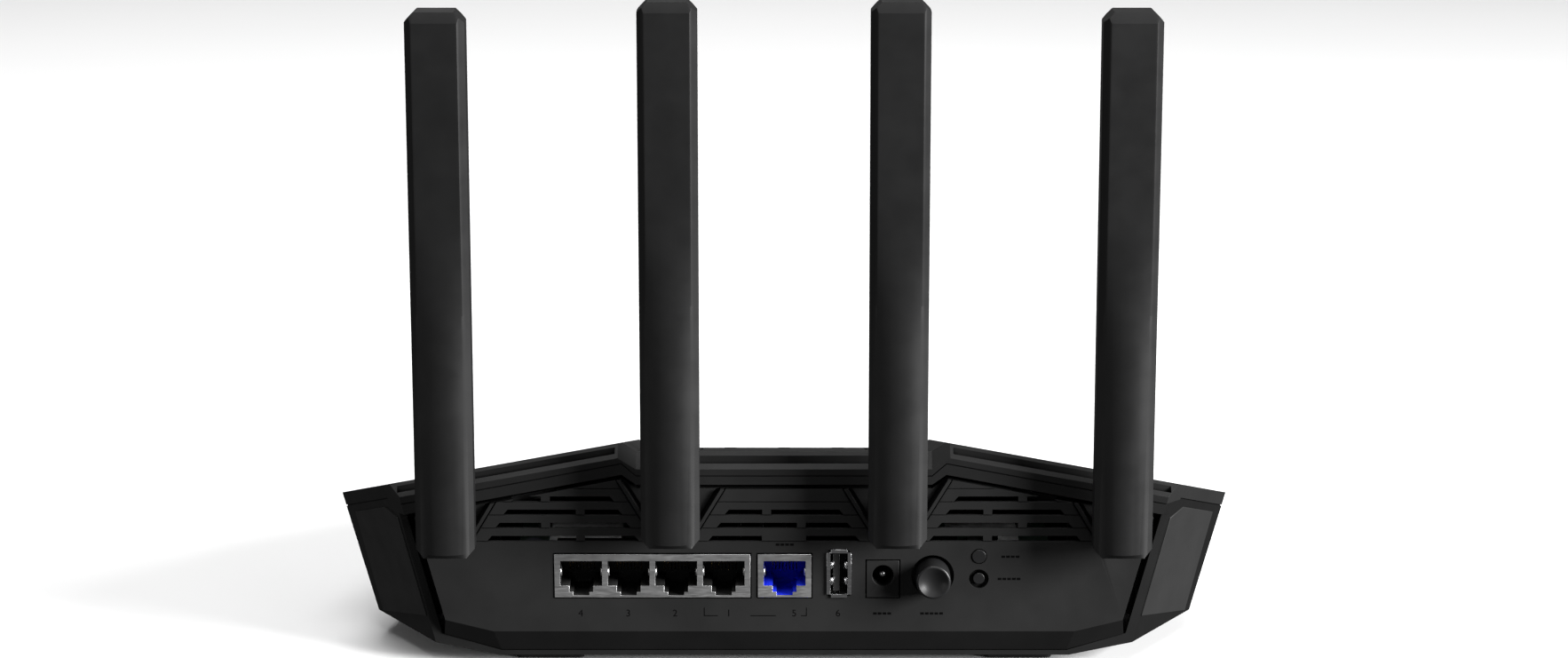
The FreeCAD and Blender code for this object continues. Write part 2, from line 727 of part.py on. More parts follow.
def make_rear_panel():
    """Port panel: louvred plate with edge walls, sloping band and a flange behind the rim."""
    outline = both_sides(panel_outline())
    flange_y = shell_rear_y + wall
    solid = trim(slab(outline, 0, flange_y), band_planes())
    face = Part.Face(Part.makePolygon([V(x, panel_thickness, z) for x, z in outline + outline[:1]]))
    face = Part.Face(face.makeOffset2D(-wall, 2).Wires[0])
    hollow = trim(face.extrude(V(0, flange_y, 0)), band_planes(), wall)
    channel = side_channel()
    solid = fuse([solid.cut(hollow), channel, mirrored(channel)])
    half = rib_width / 2
    ribs, grooves = [], []
    for centre in cluster_centres():
        for side in (-1, 1):
            rib = rib_strip(centre, side, -half, half, -rib_height, 0.5)
            ribs.append(rib.common(slab(outline, -2, 2)))
            grooves.append(rib_strip(centre, side, half, half + rib_groove, -1, rib_groove_depth))
            grooves.append(rib_strip(centre, side, -half - rib_line[0], -half, -1, rib_line[1]))
    solid = fuse([solid.cut(row_lines() + grooves + antenna_pockets())] + ribs)
    hub_end = channel_y + panel_flange_thickness
    hubs = [rod(x, -1, z, (0, 1, 0), neck_shaft_radius + running_gap, hub_end)
            for _, x, z in neck_places()]
    return solid.cut(vent_thinning() + vent_cuts() + port_cuts() + hubs)


def side_channel():
    """Floor of the groove between the panel and the right-hand rim, its inner wall and its posts."""
    flange_y = shell_rear_y + wall
    deep_y = channel_y + panel_flange_thickness
    (top_x, top_z), (low_x, low_z) = panel_top_corner, panel_low_corner
    inner = [(top_x - wall, top_z - wall), (low_x - wall, low_z)]
    floor = inner + [(low_x + panel_flange, low_z - 2.0), (top_x + panel_flange + 1.0, top_z - 1.5)]
    edge_wall = inner + [(low_x, low_z), (top_x, top_z - wall)]
    pieces = [slab(floor, channel_y, deep_y), slab(edge_wall, flange_y - 0.5, deep_y)]
    (rim_x, rim_z), (foot_x, foot_z) = rim_inner[:2]
    for z in channel_posts_z:
        x = foot_x + (rim_x - foot_x) * (z - foot_z) / (rim_z - foot_z) + 0.4
        pieces.append(block(x, x + panel_flange, flange_y, deep_y, z, z + channel_post_width))
    return fuse(pieces).common(hull(wall + 0.2, 0, wall + 1))


# ---- Connectors ------------------------------------------------------------------------
def socket_profile(centre_x, top_z):
    """Stepped outline of a modular socket, latch step down."""
    half = socket_width / 2
    z = top_z - socket_main_height
    right = [(half, top_z), (half, z)]
    for width, height in socket_steps:
        right += [(width / 2, z), (width / 2, z - height)]
        z -= height
    return [(centre_x + x, height) for x, height in both_sides(right)]


def socket_centres(edges, count):
    middle = (edges[0] + edges[1]) / 2
    return [middle + (k - (count - 1) / 2) * socket_pitch for k in range(count)]


def jack_top():
    return board_top_z + seat_gap + jack_height


def make_jack_shell(edges, count):
    """Sheet-metal screen of a row of sockets, open underneath."""
    z0, z1 = board_top_z + seat_gap, jack_top()
    shell = block(edges[0], edges[1], -jack_proud, jack_depth, z0, z1)
    t = jack_sheet
    shell = shell.cut(block(edges[0] + t, edges[1] - t, t - jack_proud, jack_depth - t, z0 - 1, z1 - t))
    top = z1 - socket_top_margin
    return shell.cut([slab(socket_profile(x, top), -2, 2) for x in socket_centres(edges, count)])


def make_jack_body(edges, count):
    """Moulded block with the sockets."""
    t = jack_sheet
    z0, z1 = board_top_z, jack_top() - t
    body = block(edges[0] + t, edges[1] - t, t - jack_proud, jack_depth - t, z0, z1)
    return body.cut([slab(socket_profile(x, jack_top() - socket_top_margin), -2, socket_depth)
                     for x in socket_centres(edges, count)])


def make_jack_contacts():
    """Eight spring wires in the roof of each socket."""
    wires = []
    top = jack_top() - socket_top_margin
    start, fall, thick = contact_start, contact_fall, contact_width
    for x in socket_centres(lan_edges, lan_count) + socket_centres(wan_edges, 1):
        for k in range(contact_count):
            x0 = x + (k - (contact_count - 1) / 2) * contact_pitch - contact_width / 2
            outline = [V(x0, start, top), V(x0, start + 0.9, top), V(x0, socket_depth, top - fall),
                       V(x0, socket_depth, top - fall - thick)]
            wire = Part.Face(Part.makePolygon(outline + outline[:1]))
            wires.append(wire.extrude(V(contact_width, 0, 0)))
    return Part.makeCompound(wires)


def make_usb_shell():
    """Upright USB shell with a flared front flange."""
    w, h = usb_size
    z = usb_z()
    t = jack_sheet
    tube = block(usb_x - w / 2, usb_x + w / 2, -jack_proud, usb_depth, z - h / 2, z + h / 2)
    fw, fh = usb_flange
    lip = 2 * t
    flange = block(usb_x - fw / 2, usb_x + fw / 2, -lip, 0, z - fh / 2, z + fh / 2)
    notch_x, notch_z = usb_notch
    flange = flange.cut([block(usb_x + x0, usb_x + x0 + notch_x, -lip - 1, 1, z + z0, z + z0 + notch_z)
                         for x0 in (-fw / 2, fw / 2 - notch_x) for z0 in (-fh / 2, fh / 2 - notch_z)])
    inner_w, inner_h = w / 2 - t, h / 2 - t
    bore = block(usb_x - inner_w, usb_x + inner_w, -lip - 1, usb_depth + 1, z - inner_h, z + inner_h)
    return tube.fuse(flange).cut(bore).removeSplitter()


def make_usb_tongue():
    """Contact tongue on its moulded base."""
    w, h = usb_size
    z = usb_z()
    t = jack_sheet
    inner_w, inner_h = w / 2 - t, h / 2 - t
    base_y = usb_depth - usb_base
    base = block(usb_x - inner_w, usb_x + inner_w, base_y, usb_depth, z - inner_h, z + inner_h)
    tw, th = usb_tongue_size
    right = usb_x + usb_tongue_offset
    tongue = block(right - tw, right, usb_tongue_start, base_y, z - th / 2, z + th / 2)
    return base.fuse(tongue).removeSplitter()


def make_dc_jack():
    z0, z1 = board_top_z, board_top_z + seat_gap + dc_height
    body = block(dc_edges[0], dc_edges[1], 0, dc_depth, z0, z1)
    middle = (dc_edges[0] + dc_edges[1]) / 2
    depth = dc_depth - dc_end_wall
    return body.cut(rod(middle, -1, dc_centre_z, (0, 1, 0), dc_bore_radius, 1 + depth))


def make_dc_pin():
    middle = (dc_edges[0] + dc_edges[1]) / 2
    reach = dc_depth - dc_end_wall - dc_pin_start
    return rod(middle, dc_pin_start, dc_centre_z, (0, 1, 0), dc_pin_radius, reach)


# ---- Buttons ---------------------------------------------------------------------------
def make_power_button():
    """Round push button with a retaining flange and a stem into its switch."""
    over, thick = power_flange
    flange_y = panel_thickness + power_flange_gap
    reach = power_reach + flange_y + thick
    cap = rod(power_x, -power_reach, power_z, (0, 1, 0), power_radius, reach)
    edge = [e for e in cap.Edges if e.BoundBox.YMax < -power_reach + 0.01 and e.Length > 1]
    cap = cap.makeFillet(power_edge, edge)
    flange = rod(power_x, flange_y, power_z, (0, 1, 0), power_hole_radius + over, thick)
    stem_radius, stem_length = power_stem
    stem = rod(power_x, power_stem_y(), power_z, (0, 1, 0), stem_radius, stem_length)
    return fuse([cap, flange, stem])


def power_stem_y():
    return panel_thickness + power_flange_gap + power_flange[1] - 0.5


def power_switch_y():
    return panel_thickness + power_flange_gap + power_flange[1] + power_travel + power_flange_gap


def make_power_switch():
    y = power_switch_y()
    half, depth, height = power_switch_size
    body = block(power_x - half, power_x + half, y, y + depth, board_top_z, power_z + height)
    stem_end = power_stem_y() + power_stem[1] + power_travel
    bore = rod(power_x, y - 1, power_z, (0, 1, 0), power_stem[0] + 0.4, stem_end + 0.6 - y + 1)
    return body.cut(bore)


def make_small_button(z, radius, front_y):
    """Small push button: cap, retaining flange and stem."""
    over, thick = small_flange
    stem_radius, stem_length = small_stem
    y = panel_thickness + small_flange_gap
    cap = rod(small_button_x, front_y, z, (0, 1, 0), radius, y + thick / 2 - front_y)
    flange = rod(small_button_x, y, z, (0, 1, 0), radius + over, thick)
    stem = rod(small_button_x, y + thick - 0.3, z, (0, 1, 0), stem_radius, stem_length)
    return fuse([cap, flange, stem])


def tact_front_y():
    stem_end = panel_thickness + small_flange_gap + small_flange[1] - 0.3 + small_stem[1]
    return stem_end + small_travel + 0.3


def make_tact_switches():
    """Two tact switches on the button board, facing the small buttons."""
    y0 = tact_front_y()
    half, y1 = tact_size[0] / 2, y0 + tact_size[1]
    x0, x1 = small_button_x - half, small_button_x + half
    return Part.makeCompound([block(x0, x1, y0, y1, z - half, z + half) for z in (reset_z, wps_z)])


def make_button_board():
    width, thick, height = button_board_size
    y = tact_front_y() + tact_size[1]
    x0, x1 = small_button_x - width / 2, small_button_x + width / 2
    return block(x0, x1, y, y + thick, board_top_z, wps_z + height)


# ---- Board and what is on it -----------------------------------------------------------
def make_main_board():
    half = board_half_width
    cut_x, cut_y = board_corner
    right = [(half, board_rear_y), (half, cut_y), (half - cut_x, board_front_y)]
    board = sheet(both_sides(right), board_top_z - board_thickness, board_top_z)
    notch = power_hole_radius + 2 * power_flange[0]
    board = board.cut(block(power_x - notch, power_x + notch, 0, power_switch_y() - 0.2, 0, far))
    return board.cut(case_bosses(board_screw_places, board_screw_radius + 0.2, 0, board_top_z + 1))


def chip(x, y, width, depth, height):
    z = board_top_z
    return block(x - width / 2, x + width / 2, y - depth / 2, y + depth / 2, z, z + height)


def make_chips():
    hot = [chip(x, y, w, w, chip_height) for x, y, w in hot_chips]
    return Part.makeCompound(hot + [chip(x, y, w, d, flat_chip_height) for x, y, w, d in flat_chips])


def make_thermal_pads():
    z = board_top_z + chip_height
    return Part.makeCompound([block(x - w / 2, x + w / 2, y - w / 2, y + w / 2, z, z + pad_thickness)
                              for x, y, w in hot_chips])


def make_heatsink():
    """Aluminium heat sink: base plate and a row of fins."""
    half, y0, y1 = heatsink_box
    z0 = board_top_z + chip_height + pad_thickness
    z1 = z0 + heatsink_base
    pitch = (2 * half - fin_thickness) / (fin_count - 1)
    edges = [pitch * k - half for k in range(fin_count)]
    fins = [block(x, x + fin_thickness, y0, y1, z1, z0 + heatsink_height) for x in edges]
    return fuse([block(-half, half, y0, y1, z0, z1)] + fins)


def make_shield_cans():
    x0, x1, y0, y1 = can_box
    t, top = can_sheet, board_top_z + can_height
    can = block(x0, x1, y0, y1, board_top_z, top)
    can = can.cut(block(x0 + t, x1 - t, y0 + t, y1 - t, board_top_z - 1, top - t))
    return Part.makeCompound([can, mirrored(can)])


def make_capacitors():
    return Part.makeCompound([rod(x, y, board_top_z, (0, 0, 1), radius, height)
                              for x, y, radius, height in capacitor_places])


def make_magnetics():
    """Isolation transformers behind the sockets and the power inductors."""
    depth, height = transformer_size
    y = jack_depth + transformer_gap + depth / 2
    blocks = [chip(x, y, width, depth, height) for x, width in transformer_x]
    return Part.makeCompound(blocks + [chip(*place) for place in inductors])


def make_leds():
    middle = led_y + led_depth / 2
    return Part.makeCompound([chip(x, middle, *lamp_size) for x in led_places()])


# ---- Fasteners, feet, label ------------------------------------------------------------
def screw(x, y, z, radius, head_radius, head_height, length, up):
    """Pan-head screw with a cross recess; it points up or down from the underside of its head."""
    direction = (0, 0, 1) if up else (0, 0, -1)
    sign = 1 if up else -1
    shank = rod(x, y, z, direction, radius, length)
    head = rod(x, y, z - sign * head_height, direction, head_radius, head_height)
    low, high = sorted((z - sign * head_height, z - sign * head_height * 0.5))
    long, short = head_radius / 2, head_radius / 8
    cross = [block(x - long, x + long, y - short, y + short, low, high),
             block(x - short, x + short, y - long, y + long, low, high)]
    return fuse([shank, head]).cut(cross)


def make_case_screws():
    seat = foot_height + case_screw_seat
    sizes = case_screw_radius, case_screw_head, 1.9, case_boss_split_z + case_screw_grip - seat
    return Part.makeCompound([screw(side * x, y, seat, *sizes, True)
                              for x, y in case_screw_places for side in (-1, 1)])


def make_board_screws():
    sizes = board_screw_radius, board_screw_head, 1.8, board_screw_length
    return Part.makeCompound([screw(side * x, y, board_top_z, *sizes, False)
                              for x, y in board_screw_places for side in (-1, 1)])


def make_feet():
    feet = []
    for x0, x1, y0, y1 in foot_boxes():
        foot = block(x0, x1, y0, y1, 0, foot_height + foot_seat)
        feet.append(foot.makeFillet(foot_corner, [e for e in foot.Edges if e.BoundBox.ZLength > 1]))
    return Part.makeCompound(feet)


def make_label():
    w, d = label_size
    y = foot_front_y - label_inset
    return block(-w / 2, w / 2, y, y + d, foot_height - label_thickness, foot_height)


# ---- Antennas --------------------------------------------------------------------------
def blade_solid():
    """Solid blade about its pivot, before it is split and hollowed."""
    half, thick = blade_width / 2, blade_thickness / 2
    low, top = -pivot_rise, antenna_length - pivot_rise
    side_y = blade_face_chamfer[1] - thick
    face_half = half - blade_face_chamfer[0]
    rear = half - blade_rear_chamfer
    section = [(face_half, -thick), (half, side_y), (half, thick - blade_rear_chamfer), (rear, thick)]
    blade = sheet(both_sides(section), low, top)
    cuts = []
    for side in (-1, 1):
        cuts.append(((side * (half - blade_top_corner), 0, top), (side, 0, 1)))
        cuts.append(((side * (half - blade_low_corner), 0, low), (side, 0, -1)))
    cuts.append(((0, -thick, top - blade_top_slope[0]), (0, -1, blade_top_slope[1])))
    cuts.append(((0, -thick, low + blade_low_slope), (0, -1, -1)))
    blade = trim(blade, cuts)
    heel = block(-half - 1, half + 1, 0, thick + 1, low - 1, 0)
    heel = heel.cut(rod(-half - 2, 0, 0, (1, 0, 0), pivot_rise, 2 * half + 4))
    slot_half = tongue_width / 2 + hinge_gap
    reach = tongue_radius + hinge_gap + 0.1
    slot = block(-slot_half, slot_half, -reach, thick + 1, low - 1, reach)
    return blade.cut([heel, slot, make_pin()])


def cavity_limits():
    """Half width, lower end and upper end of the space inside the blade."""
    return blade_width / 2 - blade_side_wall, cavity_ends[0], antenna_length - pivot_rise - cavity_ends[1]


def cavity_solid():
    """Space inside the blade, with the passage that the lead comes up through."""
    half, start, top = cavity_limits()
    y0, y1 = cavity_front_wall - blade_thickness / 2, blade_thickness / 2 - blade_wall
    space = block(-half, half, y0, y1, start, top)
    return space.fuse(rod(0, 0, 0, (0, 0, 1), passage_radius, start + 1.0))


def make_blade_outer():
    """Outer shell of the blade: the one seen from behind the router."""
    return blade_solid().cut([cavity_solid(), block(-far, far, blade_split_y, far, -far, far)])


def make_blade_inner():
    """Inner shell of the blade, which faces the router."""
    return blade_solid().cut([cavity_solid(), block(-far, far, -far, blade_split_y, -far, far)])


def make_radiator():
    """Thin antenna board held between the blade's side walls."""
    half, start, top = cavity_limits()
    y = radiator_thickness / 2
    return block(-half, half, -y, y, start + radiator_end_gap[0], top - radiator_end_gap[1])


def make_pin():
    length = blade_width - 2 * pin_inset
    return rod(-length / 2, 0, 0, (1, 0, 0), pin_radius, length)


def make_neck():
    """Swivelling neck: tongue round the pin, flange, and a shaft through the panel."""
    half = tongue_width / 2
    back = -pivot_y
    flange_end = back - hinge_gap
    flange_y = flange_end - neck_flange_thickness
    eye = rod(-half, 0, 0, (1, 0, 0), tongue_radius, tongue_width)
    tongue = block(-half, half, 0, flange_y, -tongue_radius, tongue_radius)
    flange = rod(0, flange_y, 0, (0, 1, 0), neck_flange_radius, flange_end - flange_y)
    shaft = rod(0, flange_end, 0, (0, 1, 0), neck_shaft_radius, back + neck_end_y - flange_end)
    neck = fuse([eye, tongue, flange, shaft])
    groove_y = back + panel_thickness - 0.2
    core = neck_shaft_radius - neck_groove_depth
    ring = rod(0, groove_y, 0, (0, 1, 0), neck_shaft_radius + 1, retainer_thickness + 0.4)
    ring = ring.cut(rod(0, groove_y - 1, 0, (0, 1, 0), core, retainer_thickness + 3))
    hole = rod(-half - 1, 0, 0, (1, 0, 0), pin_radius + running_gap, tongue_width + 2)
    bore = rod(0, tongue_radius + 1.5, 0, (0, 1, 0), neck_bore_radius, far)
    return neck.cut([ring, hole, bore])


def make_retainers():
    """Snap-in plates behind the panel that hold the necks by their grooves, open at the top."""
    plates = []
    slot_radius = neck_shaft_radius - neck_groove_depth + retainer_grip
    y0, y1 = panel_thickness, panel_thickness + retainer_thickness
    below, over = retainer_reach
    for _, x, z in neck_places():
        plate_piece = block(x - retainer_half, x + retainer_half, y0, y1, z - below, z + over)
        slot = rod(x, y0 - 1, z, (0, 1, 0), slot_radius, y1 - y0 + 2)
        mouth = block(x - slot_radius, x + slot_radius, y0 - 1, y1 + 1, z, z + 8)
        plates.append(clip_to_panel(plate_piece.cut([slot, mouth])))
    return Part.makeCompound(plates)


def clip_to_panel(shape):
    """The part of a shape that fits between the panel's edge walls."""
    outline = both_sides(panel_outline())
    face = Part.Face(Part.makePolygon([V(x, 0, z) for x, z in outline + outline[:1]]))
    face = Part.Face(face.makeOffset2D(-wall - 0.1, 2).Wires[0])
    return shape.common(face.extrude(V(0, 20, 0)))


def make_lead(x, z):
    """Coaxial lead from the neck's bore, over and down to its plug on the board."""
    start = V(x, lead_start_y, z)
    turn = V(x, lead_drop_y, z)
    plug_x = math.copysign(min(abs(x), outer_plug_x), x)
    end = V(plug_x, lead_drop_y, board_top_z + plug_size[1] - 0.2)
    run_in, run_out = turn - start, end - turn
    angle = run_in.getAngle(run_out)
    radius = 0.45 * min(run_in.Length, run_out.Length) / math.tan(angle / 2)
    cut_back = radius * math.tan(angle / 2)
    a = turn - run_in.normalize() * cut_back
    b = turn + run_out.normalize() * cut_back
    to_centre = (run_out - run_in).normalize()
    middle = turn + to_centre * (radius / math.cos(angle / 2) - radius)
    path = Part.Wire([Part.LineSegment(start, a).toShape(), Part.Arc(a, middle, b).toShape(),
                      Part.LineSegment(b, end).toShape()])
    ring = Part.Wire([Part.Circle(start, V(0, 1, 0), lead_radius).toShape()])
    tube = path.makePipeShell([ring], True, False)
    plug = rod(end.x, end.y, board_top_z, (0, 0, 1), *plug_size)
    print(f"lead at x = {x:.1f}: bend radius {radius:.2f} mm")
    return tube.fuse(plug)


# ---- Build and save --------------------------------------------------------------------
case_top = hull(0, 0, 0)
antenna_rear_y = pivot_y - blade_thickness / 2
middle_y = (case_top.BoundBox.YMax + antenna_rear_y) / 2


def save(name, shape):
    shape = shape.copy()
    shape.translate(V(0, -middle_y, 0))
    shape.exportStep(f"parts/{name}.step")
    print(f"{name}: {len(shape.Solids)} solid(s), {shape.Volume / 1000:.2f} cm3, valid {shape.isValid()}")


right_wing = make_wing_panel()
pieces = {
    "bottom_case": make_bottom_case(),
    "top_cover": make_top_cover(),
    "top_plate": make_top_plate(),
    "light_guide": make_light_guide(),
    "wing_panel_right": right_wing,
    "wing_panel_left": mirrored(right_wing),
    "rear_panel": make_rear_panel(),
    "antenna_retainers": make_retainers(),
    "lan_jack_shell": make_jack_shell(lan_edges, lan_count),
    "lan_jack_body": make_jack_body(lan_edges, lan_count),
    "wan_jack_shell": make_jack_shell(wan_edges, 1),
    "wan_jack_body": make_jack_body(wan_edges, 1),
    "jack_contacts": make_jack_contacts(),
    "usb_shell": make_usb_shell(),
    "usb_tongue": make_usb_tongue(),
    "dc_jack": make_dc_jack(),
    "dc_pin": make_dc_pin(),
    "power_button": make_power_button(),
    "power_switch": make_power_switch(),
    "wps_button": make_small_button(wps_z, wps_radius, wps_front_y),
    "reset_button": make_small_button(reset_z, reset_radius, reset_front_y),
    "tact_switches": make_tact_switches(),
    "button_board": make_button_board(),
    "main_board": make_main_board(),
    "chips": make_chips(),
    "thermal_pads": make_thermal_pads(),
    "heatsink": make_heatsink(),
    "shield_cans": make_shield_cans(),
    "capacitors": make_capacitors(),
    "magnetics": make_magnetics(),
    "leds": make_leds(),
    "case_screws": make_case_screws(),
    "board_screws": make_board_screws(),
    "rubber_feet": make_feet(),
    "rating_label": make_label(),
}

antenna_pieces = {
    "blade_outer": make_blade_outer(),
    "blade_inner": make_blade_inner(),
    "radiator": make_radiator(),
    "hinge_pin": make_pin(),
    "neck": make_neck(),
}
for place, x, z in neck_places():
    for kind, shape in antenna_pieces.items():
        placed = shape.copy()
        placed.translate(V(x, pivot_y, z))
        pieces[f"{kind}_{place}"] = placed
    pieces[f"lead_{place}"] = make_lead(x, z)

for name, shape in pieces.items():
    save(name, shape)
print(f"origin is {middle_y:.3f} mm in front of the port panel's face")
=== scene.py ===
# %% [markdown]
# # A wireless router, seen from behind
# The case, the port panel and the four antennas were designed in CAD. This notebook loads that
# model as a fixed frame and gives it its looks: softened edges, moulded plastic, plated metal,
# printed marks, a floor, lamps and a camera. All lengths are in metres, and the router stands on
# z = 0 with its port panel facing the -Y side.

import json
import math

import bmesh
import bpy
from mathutils import Matrix, Vector

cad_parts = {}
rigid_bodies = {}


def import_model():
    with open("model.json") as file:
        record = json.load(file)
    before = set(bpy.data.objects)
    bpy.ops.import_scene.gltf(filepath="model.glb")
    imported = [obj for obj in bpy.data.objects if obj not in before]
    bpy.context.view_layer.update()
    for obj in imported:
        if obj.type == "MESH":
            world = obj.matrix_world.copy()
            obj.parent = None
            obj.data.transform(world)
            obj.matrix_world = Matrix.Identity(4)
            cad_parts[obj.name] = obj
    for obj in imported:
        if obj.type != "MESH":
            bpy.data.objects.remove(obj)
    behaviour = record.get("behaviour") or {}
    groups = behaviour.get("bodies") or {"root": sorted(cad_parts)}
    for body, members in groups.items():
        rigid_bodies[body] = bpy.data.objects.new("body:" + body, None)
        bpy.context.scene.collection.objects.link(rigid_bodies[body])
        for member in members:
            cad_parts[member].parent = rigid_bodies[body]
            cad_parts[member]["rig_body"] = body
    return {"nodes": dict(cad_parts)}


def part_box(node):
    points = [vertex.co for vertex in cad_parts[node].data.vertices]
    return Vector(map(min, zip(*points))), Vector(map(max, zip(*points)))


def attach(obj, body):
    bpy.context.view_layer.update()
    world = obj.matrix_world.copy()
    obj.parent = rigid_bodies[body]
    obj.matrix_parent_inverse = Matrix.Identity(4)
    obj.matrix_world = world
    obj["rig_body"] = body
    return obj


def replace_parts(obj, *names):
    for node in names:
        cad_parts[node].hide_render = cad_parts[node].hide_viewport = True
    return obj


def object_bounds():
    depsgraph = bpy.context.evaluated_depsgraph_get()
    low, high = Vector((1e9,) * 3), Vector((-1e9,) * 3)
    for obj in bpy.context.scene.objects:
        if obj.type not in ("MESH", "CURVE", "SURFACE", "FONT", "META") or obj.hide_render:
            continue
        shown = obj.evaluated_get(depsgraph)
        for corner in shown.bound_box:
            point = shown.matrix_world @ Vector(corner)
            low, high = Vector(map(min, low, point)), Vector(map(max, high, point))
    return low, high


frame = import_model()
cad_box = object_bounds()
print("CAD box:", [[round(v * 1000, 1) for v in corner] for corner in cad_box])

# %% a millimetre
MM = 0.001


def size_of(node):
    """Length, depth and height of a CAD node, in mm."""
    low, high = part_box(node)
    return [round(v / MM, 2) for v in high - low]


print("port panel, mm:", size_of("rear_panel"))

# %% [markdown]
# ## Softened edges
# Moulded parts never have knife edges: the mould's corners are rounded, and the eye finds a part
# by the thin bright line along each edge. A CAD mesh arrives as loose triangles, so the helper
# below merges a copy, joins the triangles of each flat face, and rounds every edge with a Bevel
# modifier. Faces of a rounded surface are shaded smooth and flat faces flat, so that nothing
# looks swollen. The copy then stands for the CAD node and rides on the same body.


# %% merge a copy of a CAD node
def merged(node):
    """A bmesh of a CAD node with its corners joined and its flat faces whole."""
    bm = bmesh.new()
    bm.from_mesh(frame["nodes"][node].data)
    bmesh.ops.remove_doubles(bm, verts=bm.verts, dist=0.001 * MM)
    bmesh.ops.dissolve_limit(
        bm, angle_limit=math.radians(1.0), verts=bm.verts, edges=bm.edges, use_dissolve_boundaries=False
    )
    return bm


def is_curved(edge, smooth_angle):
    """Whether the two faces at an edge belong to one rounded surface."""
    return len(edge.link_faces) == 2 and math.radians(0.05) < edge.calc_face_angle() < smooth_angle


def piece_from(bm, name, material, body, smooth_angle=math.radians(30)):
    """Makes the bmesh a piece that rides on a body: rounded surfaces smooth, flat ones flat."""
    mesh = bpy.data.meshes.new(name)
    for face in bm.faces:
        face.smooth = any(is_curved(edge, smooth_angle) for edge in face.edges)
        face.material_index = 0
    bm.to_mesh(mesh)
    bm.free()
    mesh.set_sharp_from_angle(angle=smooth_angle)
    mesh.materials.append(material)
    thing = bpy.data.objects.new(name, mesh)
    bpy.context.scene.collection.objects.link(thing)
    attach(thing, body)
    return thing


def add_bevel(thing, width, segments=2, angle=25.0):
    """Rounds the edges of a piece that are sharper than the angle; the width is in mm."""
    bevel = thing.modifiers.new("rounded edges", "BEVEL")
    bevel.width = width * MM
    bevel.segments = segments
    bevel.limit_method = "ANGLE"
    bevel.angle_limit = math.radians(angle)
    return thing


def softened(node, material, width, smooth=30.0):
    """A piece that stands for a CAD node, with edges rounded by width mm.

    Faces that meet at less than smooth degrees are shaded as one surface.
    """
    body = frame["nodes"][node]["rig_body"]
    thing = piece_from(merged(node), node + "_finish", material, body, math.radians(smooth))
    add_bevel(thing, width)
    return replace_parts(thing, node)


def paint_shade_towards(thing, material, direction, least):
    """Paints shade: gives the faces that look towards a direction, to within a cosine, a second, darker
    material.
    """
    thing.data.materials.append(material)
    towards = Vector(direction).normalized()
    for face in thing.data.polygons:
        if face.normal.dot(towards) > least:
            face.material_index = 1


def paint(node, material):
    """Gives a CAD node that keeps its own shape a better material."""
    thing = frame["nodes"][node]
    thing.data.materials.clear()
    thing.data.materials.append(material)
    return thing


# %% [markdown]
# ## Finishes
# Every finish is made of nodes that read the piece's own Object coordinates, so the grain keeps
# its real size on every part and stays put when an antenna swings. A value that is the same all
# over is typed straight into the shader's socket. What changes over the surface (grain, faint
# mottling, polish) comes from noise and wave textures.


# %% node helpers
def new_finish(name, **values):
    """A material whose shader has these values; underscores in their names stand for spaces."""
    material = bpy.data.materials.new(name)
    material.use_nodes = True
    shader = material.node_tree.nodes["Principled BSDF"]
    for socket, value in values.items():
        shader.inputs[socket.replace("_", " ")].default_value = value
    return material


def parts_of(material):
    tree = material.node_tree
    return tree, tree.nodes["Principled BSDF"]


def coordinates(tree, scale=(1, 1, 1), turn=(0, 0, 0)):
    """Object coordinates, stretched and turned."""
    source = tree.nodes.new("ShaderNodeTexCoord")
    mapping = tree.nodes.new("ShaderNodeMapping")
    mapping.inputs["Scale"].default_value = scale
    mapping.inputs["Rotation"].default_value = [math.radians(v) for v in turn]
    tree.links.new(source.outputs["Object"], mapping.inputs["Vector"])
    return mapping.outputs["Vector"]


def noise(tree, grain, detail=2.0, scale=(1, 1, 1), turn=(0, 0, 0)):
    """Noise whose blobs are about the grain's size, in mm."""
    texture = tree.nodes.new("ShaderNodeTexNoise")
    texture.inputs["Scale"].default_value = 1 / (grain * MM)
    texture.inputs["Detail"].default_value = detail
    tree.links.new(coordinates(tree, scale, turn), texture.inputs["Vector"])
    return texture.outputs["Fac"]


def colour_between(material, driver, dark, light, low=0.3, high=0.7):
    """Base colour that wanders between two shades."""
    tree, shader = parts_of(material)
    ramp = tree.nodes.new("ShaderNodeValToRGB")
    ramp.color_ramp.elements[0].position = low
    ramp.color_ramp.elements[1].position = high
    ramp.color_ramp.elements[0].color = (*dark, 1)
    ramp.color_ramp.elements[1].color = (*light, 1)
    tree.links.new(driver, ramp.inputs["Fac"])
    tree.links.new(ramp.outputs["Color"], shader.inputs["Base Color"])


def value_between(material, driver, socket, low, high):
    """A shader value that wanders between two limits."""
    tree, shader = parts_of(material)
    span = tree.nodes.new("ShaderNodeMapRange")
    span.inputs["From Min"].default_value = 0.3
    span.inputs["From Max"].default_value = 0.7
    span.inputs["To Min"].default_value = low
    span.inputs["To Max"].default_value = high
    tree.links.new(driver, span.inputs["Value"])
    tree.links.new(span.outputs["Result"], shader.inputs[socket])


def relief(material, driver, height, strength=1.0):
    """Bump of this height in mm, added to any relief that is there already."""
    tree, shader = parts_of(material)
    bump = tree.nodes.new("ShaderNodeBump")
    bump.inputs["Distance"].default_value = height * MM
    bump.inputs["Strength"].default_value = strength
    tree.links.new(driver, bump.inputs["Height"])
    before = shader.inputs["Normal"]
    if before.is_linked:
        tree.links.new(before.links[0].from_socket, bump.inputs["Normal"])
    tree.links.new(bump.outputs["Normal"], before)
